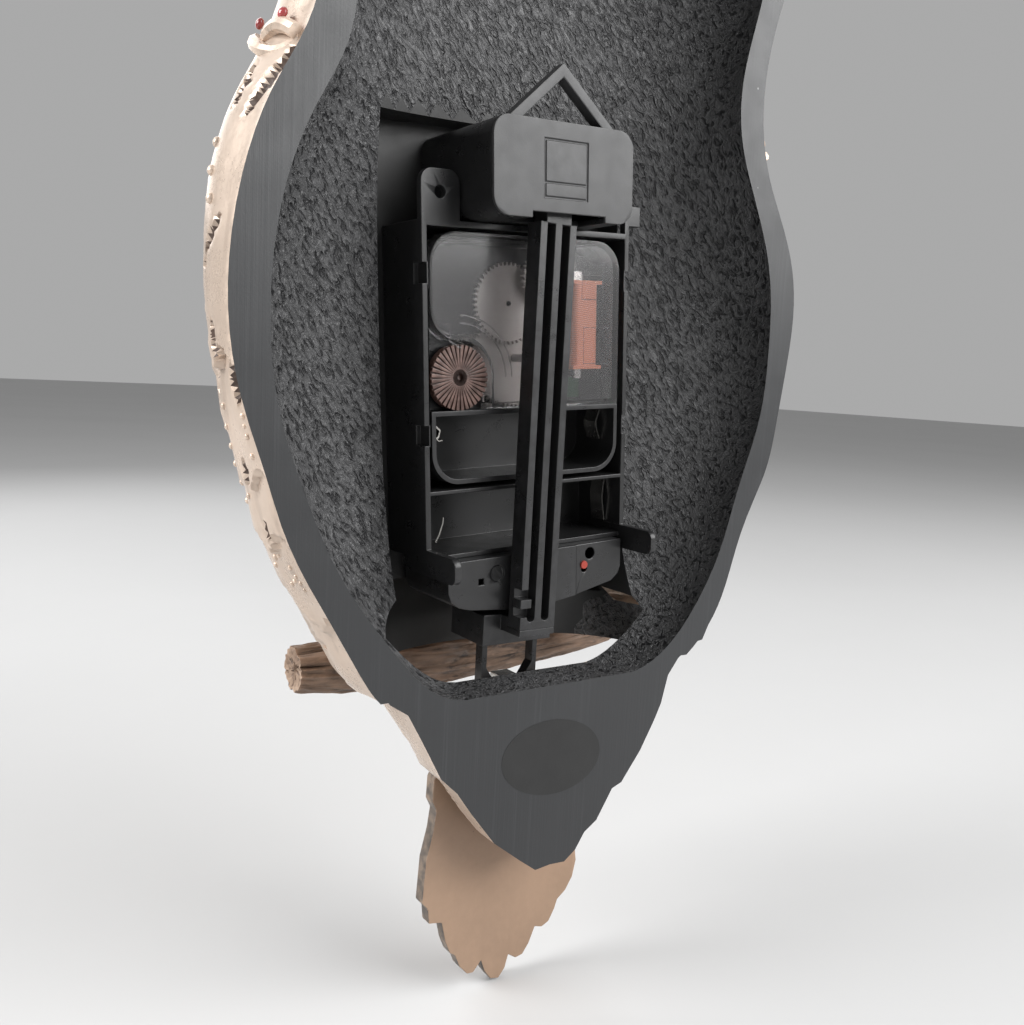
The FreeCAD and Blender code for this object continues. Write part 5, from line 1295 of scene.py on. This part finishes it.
class OWL_OT_feathers(bpy.types.Operator):
    """Lays the beads, the fans round the eyes, the collar and the rivets on the body"""
    bl_idname = "owl_clock.feathers"
    bl_label = "Trim on the body"

    def execute(self, context):
        tree = piece_tree(pieces["body"])
        make_side_beads(tree, looks)
        make_eye_feathers(tree, looks)
        make_collar(tree, context.scene.owl_body, looks)
        make_ring_rivets(looks)
        return {"FINISHED"}


class OWL_OT_perch(bpy.types.Operator):
    """Makes the log and the feet that hold it"""
    bl_idname = "owl_clock.perch"
    bl_label = "Log and feet"

    def execute(self, context):
        make_log(context.scene.owl_body, looks)
        make_feet(looks)
        return {"FINISHED"}


class OWL_OT_movement(bpy.types.Operator):
    """Rounds and finishes the movement, the pendulum and the tail"""
    bl_idname = "owl_clock.movement"
    bl_label = "Movement"

    def execute(self, context):
        make_moulded(looks)
        make_cover_lines(looks)
        make_drive_details(looks)
        for node, look in KEPT.items():
            dress(node, looks[look])
        return {"FINISHED"}


class OWL_OT_dial(bpy.types.Operator):
    """Makes the marks and numerals of the dial"""
    bl_idname = "owl_clock.dial"
    bl_label = "Dial"

    def execute(self, context):
        make_dial_marks(looks)
        return {"FINISHED"}


class OWL_OT_stage(bpy.types.Operator):
    """Sets the floor, the lights and the camera"""
    bl_idname = "owl_clock.stage"
    bl_label = "Stage"

    def execute(self, context):
        settings = context.scene.owl_stage
        make_floor(settings)
        make_lights(settings)
        make_camera(settings)
        return {"FINISHED"}


# Stage

FLOOR_GAP = 0.5 * MM
FLOOR_HALF = 6.0


def make_floor(settings):
    """A wide flat paper floor under the clock."""
    bm = bmesh.new()
    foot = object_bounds()[0].z - FLOOR_GAP
    bmesh.ops.create_grid(bm, x_segments=2, y_segments=2, size=FLOOR_HALF,
                          matrix=Matrix.Translation((0, 0, foot)))
    mesh = bpy.data.meshes.new("floor")
    bm.to_mesh(mesh)
    bm.free()
    mesh.materials.append(stage_paint(tuple(settings.floor)))
    floor = bpy.data.objects.new("floor", mesh)
    bpy.context.scene.collection.objects.link(floor)
    floor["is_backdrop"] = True


def area_lamp(name, spot, aim, size, energy):
    """A square soft lamp that points at a place."""
    data = bpy.data.lights.new(name, "AREA")
    data.shape = "RECTANGLE"
    data.size = size[0]
    data.size_y = size[1]
    data.energy = energy
    lamp = bpy.data.objects.new(name, data)
    lamp.location = spot
    lamp.rotation_euler = (Vector(aim) - Vector(spot)).to_track_quat("-Z", "Y").to_euler()
    bpy.context.scene.collection.objects.link(lamp)


def make_lights(settings):
    """A key lamp on the picture's left, a wide one high on its right, one in front, and an even sky."""
    area_lamp("key", (0.85, -0.22, 0.42), (0, 0, -0.05), (0.45, 0.6), settings.key)
    area_lamp("top", (-0.72, 0.92, 0.62), (0, 0, -0.03), (1.3, 1.1), settings.top)
    area_lamp("front", (0.1, -0.9, 0.5), (0, 0, 0), (0.8, 0.8), settings.front)
    world = bpy.data.worlds.new("sky")
    world.use_nodes = True
    world.node_tree.nodes.clear()
    graph = Graph(world.node_tree)
    light = graph.node("LightPath").outputs
    seen = graph.sum("MAXIMUM", light["Is Camera Ray"], light["Is Glossy Ray"])
    seen = graph.sum("MAXIMUM", seen, light["Is Transmission Ray"])
    strength = graph.spread(seen, 0.0, 1.0, settings.sky, settings.backdrop)
    shade = graph.node("Background", {"Color": (1, 1, 1, 1), "Strength": strength})
    graph.node("OutputWorld", {"Surface": shade.outputs[0]})
    bpy.context.scene.world = world


def make_camera(settings):
    """The camera at the photograph's place, worked out from the movement's straight edges."""
    data = bpy.data.cameras.new("camera")
    data.sensor_width = 36.0
    data.sensor_fit = "AUTO"
    data.lens = settings.lens
    data.clip_start = 0.01
    camera = bpy.data.objects.new("camera", data)
    right = Vector((-0.8241, 0.5636, 0.0504))
    up = Vector((-0.0368, -0.1423, 0.9891))
    back = Vector((0.5644, 0.8137, 0.1381))
    turn = Matrix((right, up, back)).transposed().to_4x4()
    camera.matrix_world = Matrix.Translation((0.13785, 0.18525, -0.06644)) @ turn
    bpy.context.scene.collection.objects.link(camera)
    bpy.context.scene.camera = camera


class OWL_PT_panel(bpy.types.Panel):
    """Lists the steps of the clock"""
    bl_label = "Owl clock"
    bl_idname = "OWL_PT_panel"
    bl_space_type = "VIEW_3D"
    bl_region_type = "UI"
    bl_category = "Owl clock"

    def draw(self, context):
        layout = self.layout
        for operator in OPERATORS:
            layout.operator(operator.bl_idname)
        for group in SETTINGS:
            settings = getattr(context.scene, group)
            for name in settings.bl_rna.properties.keys():
                if name not in ("rna_type", "name"):
                    layout.prop(settings, name)


OPERATORS = (OWL_OT_finishes, OWL_OT_body, OWL_OT_feathers, OWL_OT_perch, OWL_OT_movement, OWL_OT_dial,
             OWL_OT_stage)
SETTINGS = {"owl_body": OwlBodySettings, "owl_colours": OwlColourSettings, "owl_stage": OwlStageSettings}
CLASSES = (*SETTINGS.values(), *OPERATORS, OWL_PT_panel)


def register():
    for entry in CLASSES:
        bpy.utils.register_class(entry)
    for name, group in SETTINGS.items():
        setattr(bpy.types.Scene, name, PointerProperty(type=group))


def unregister():
    for name in SETTINGS:
        delattr(bpy.types.Scene, name)
    for entry in reversed(CLASSES):
        bpy.utils.unregister_class(entry)


def main():
    """Builds every piece."""
    register()
    bpy.context.scene.view_settings.view_transform = "Standard"
    bpy.ops.owl_clock.finishes()
    bpy.ops.owl_clock.body()
    bpy.ops.owl_clock.feathers()
    bpy.ops.owl_clock.perch()
    bpy.ops.owl_clock.movement()
    bpy.ops.owl_clock.dial()
    bpy.ops.owl_clock.stage()


if __name__ == "__main__":
    main()
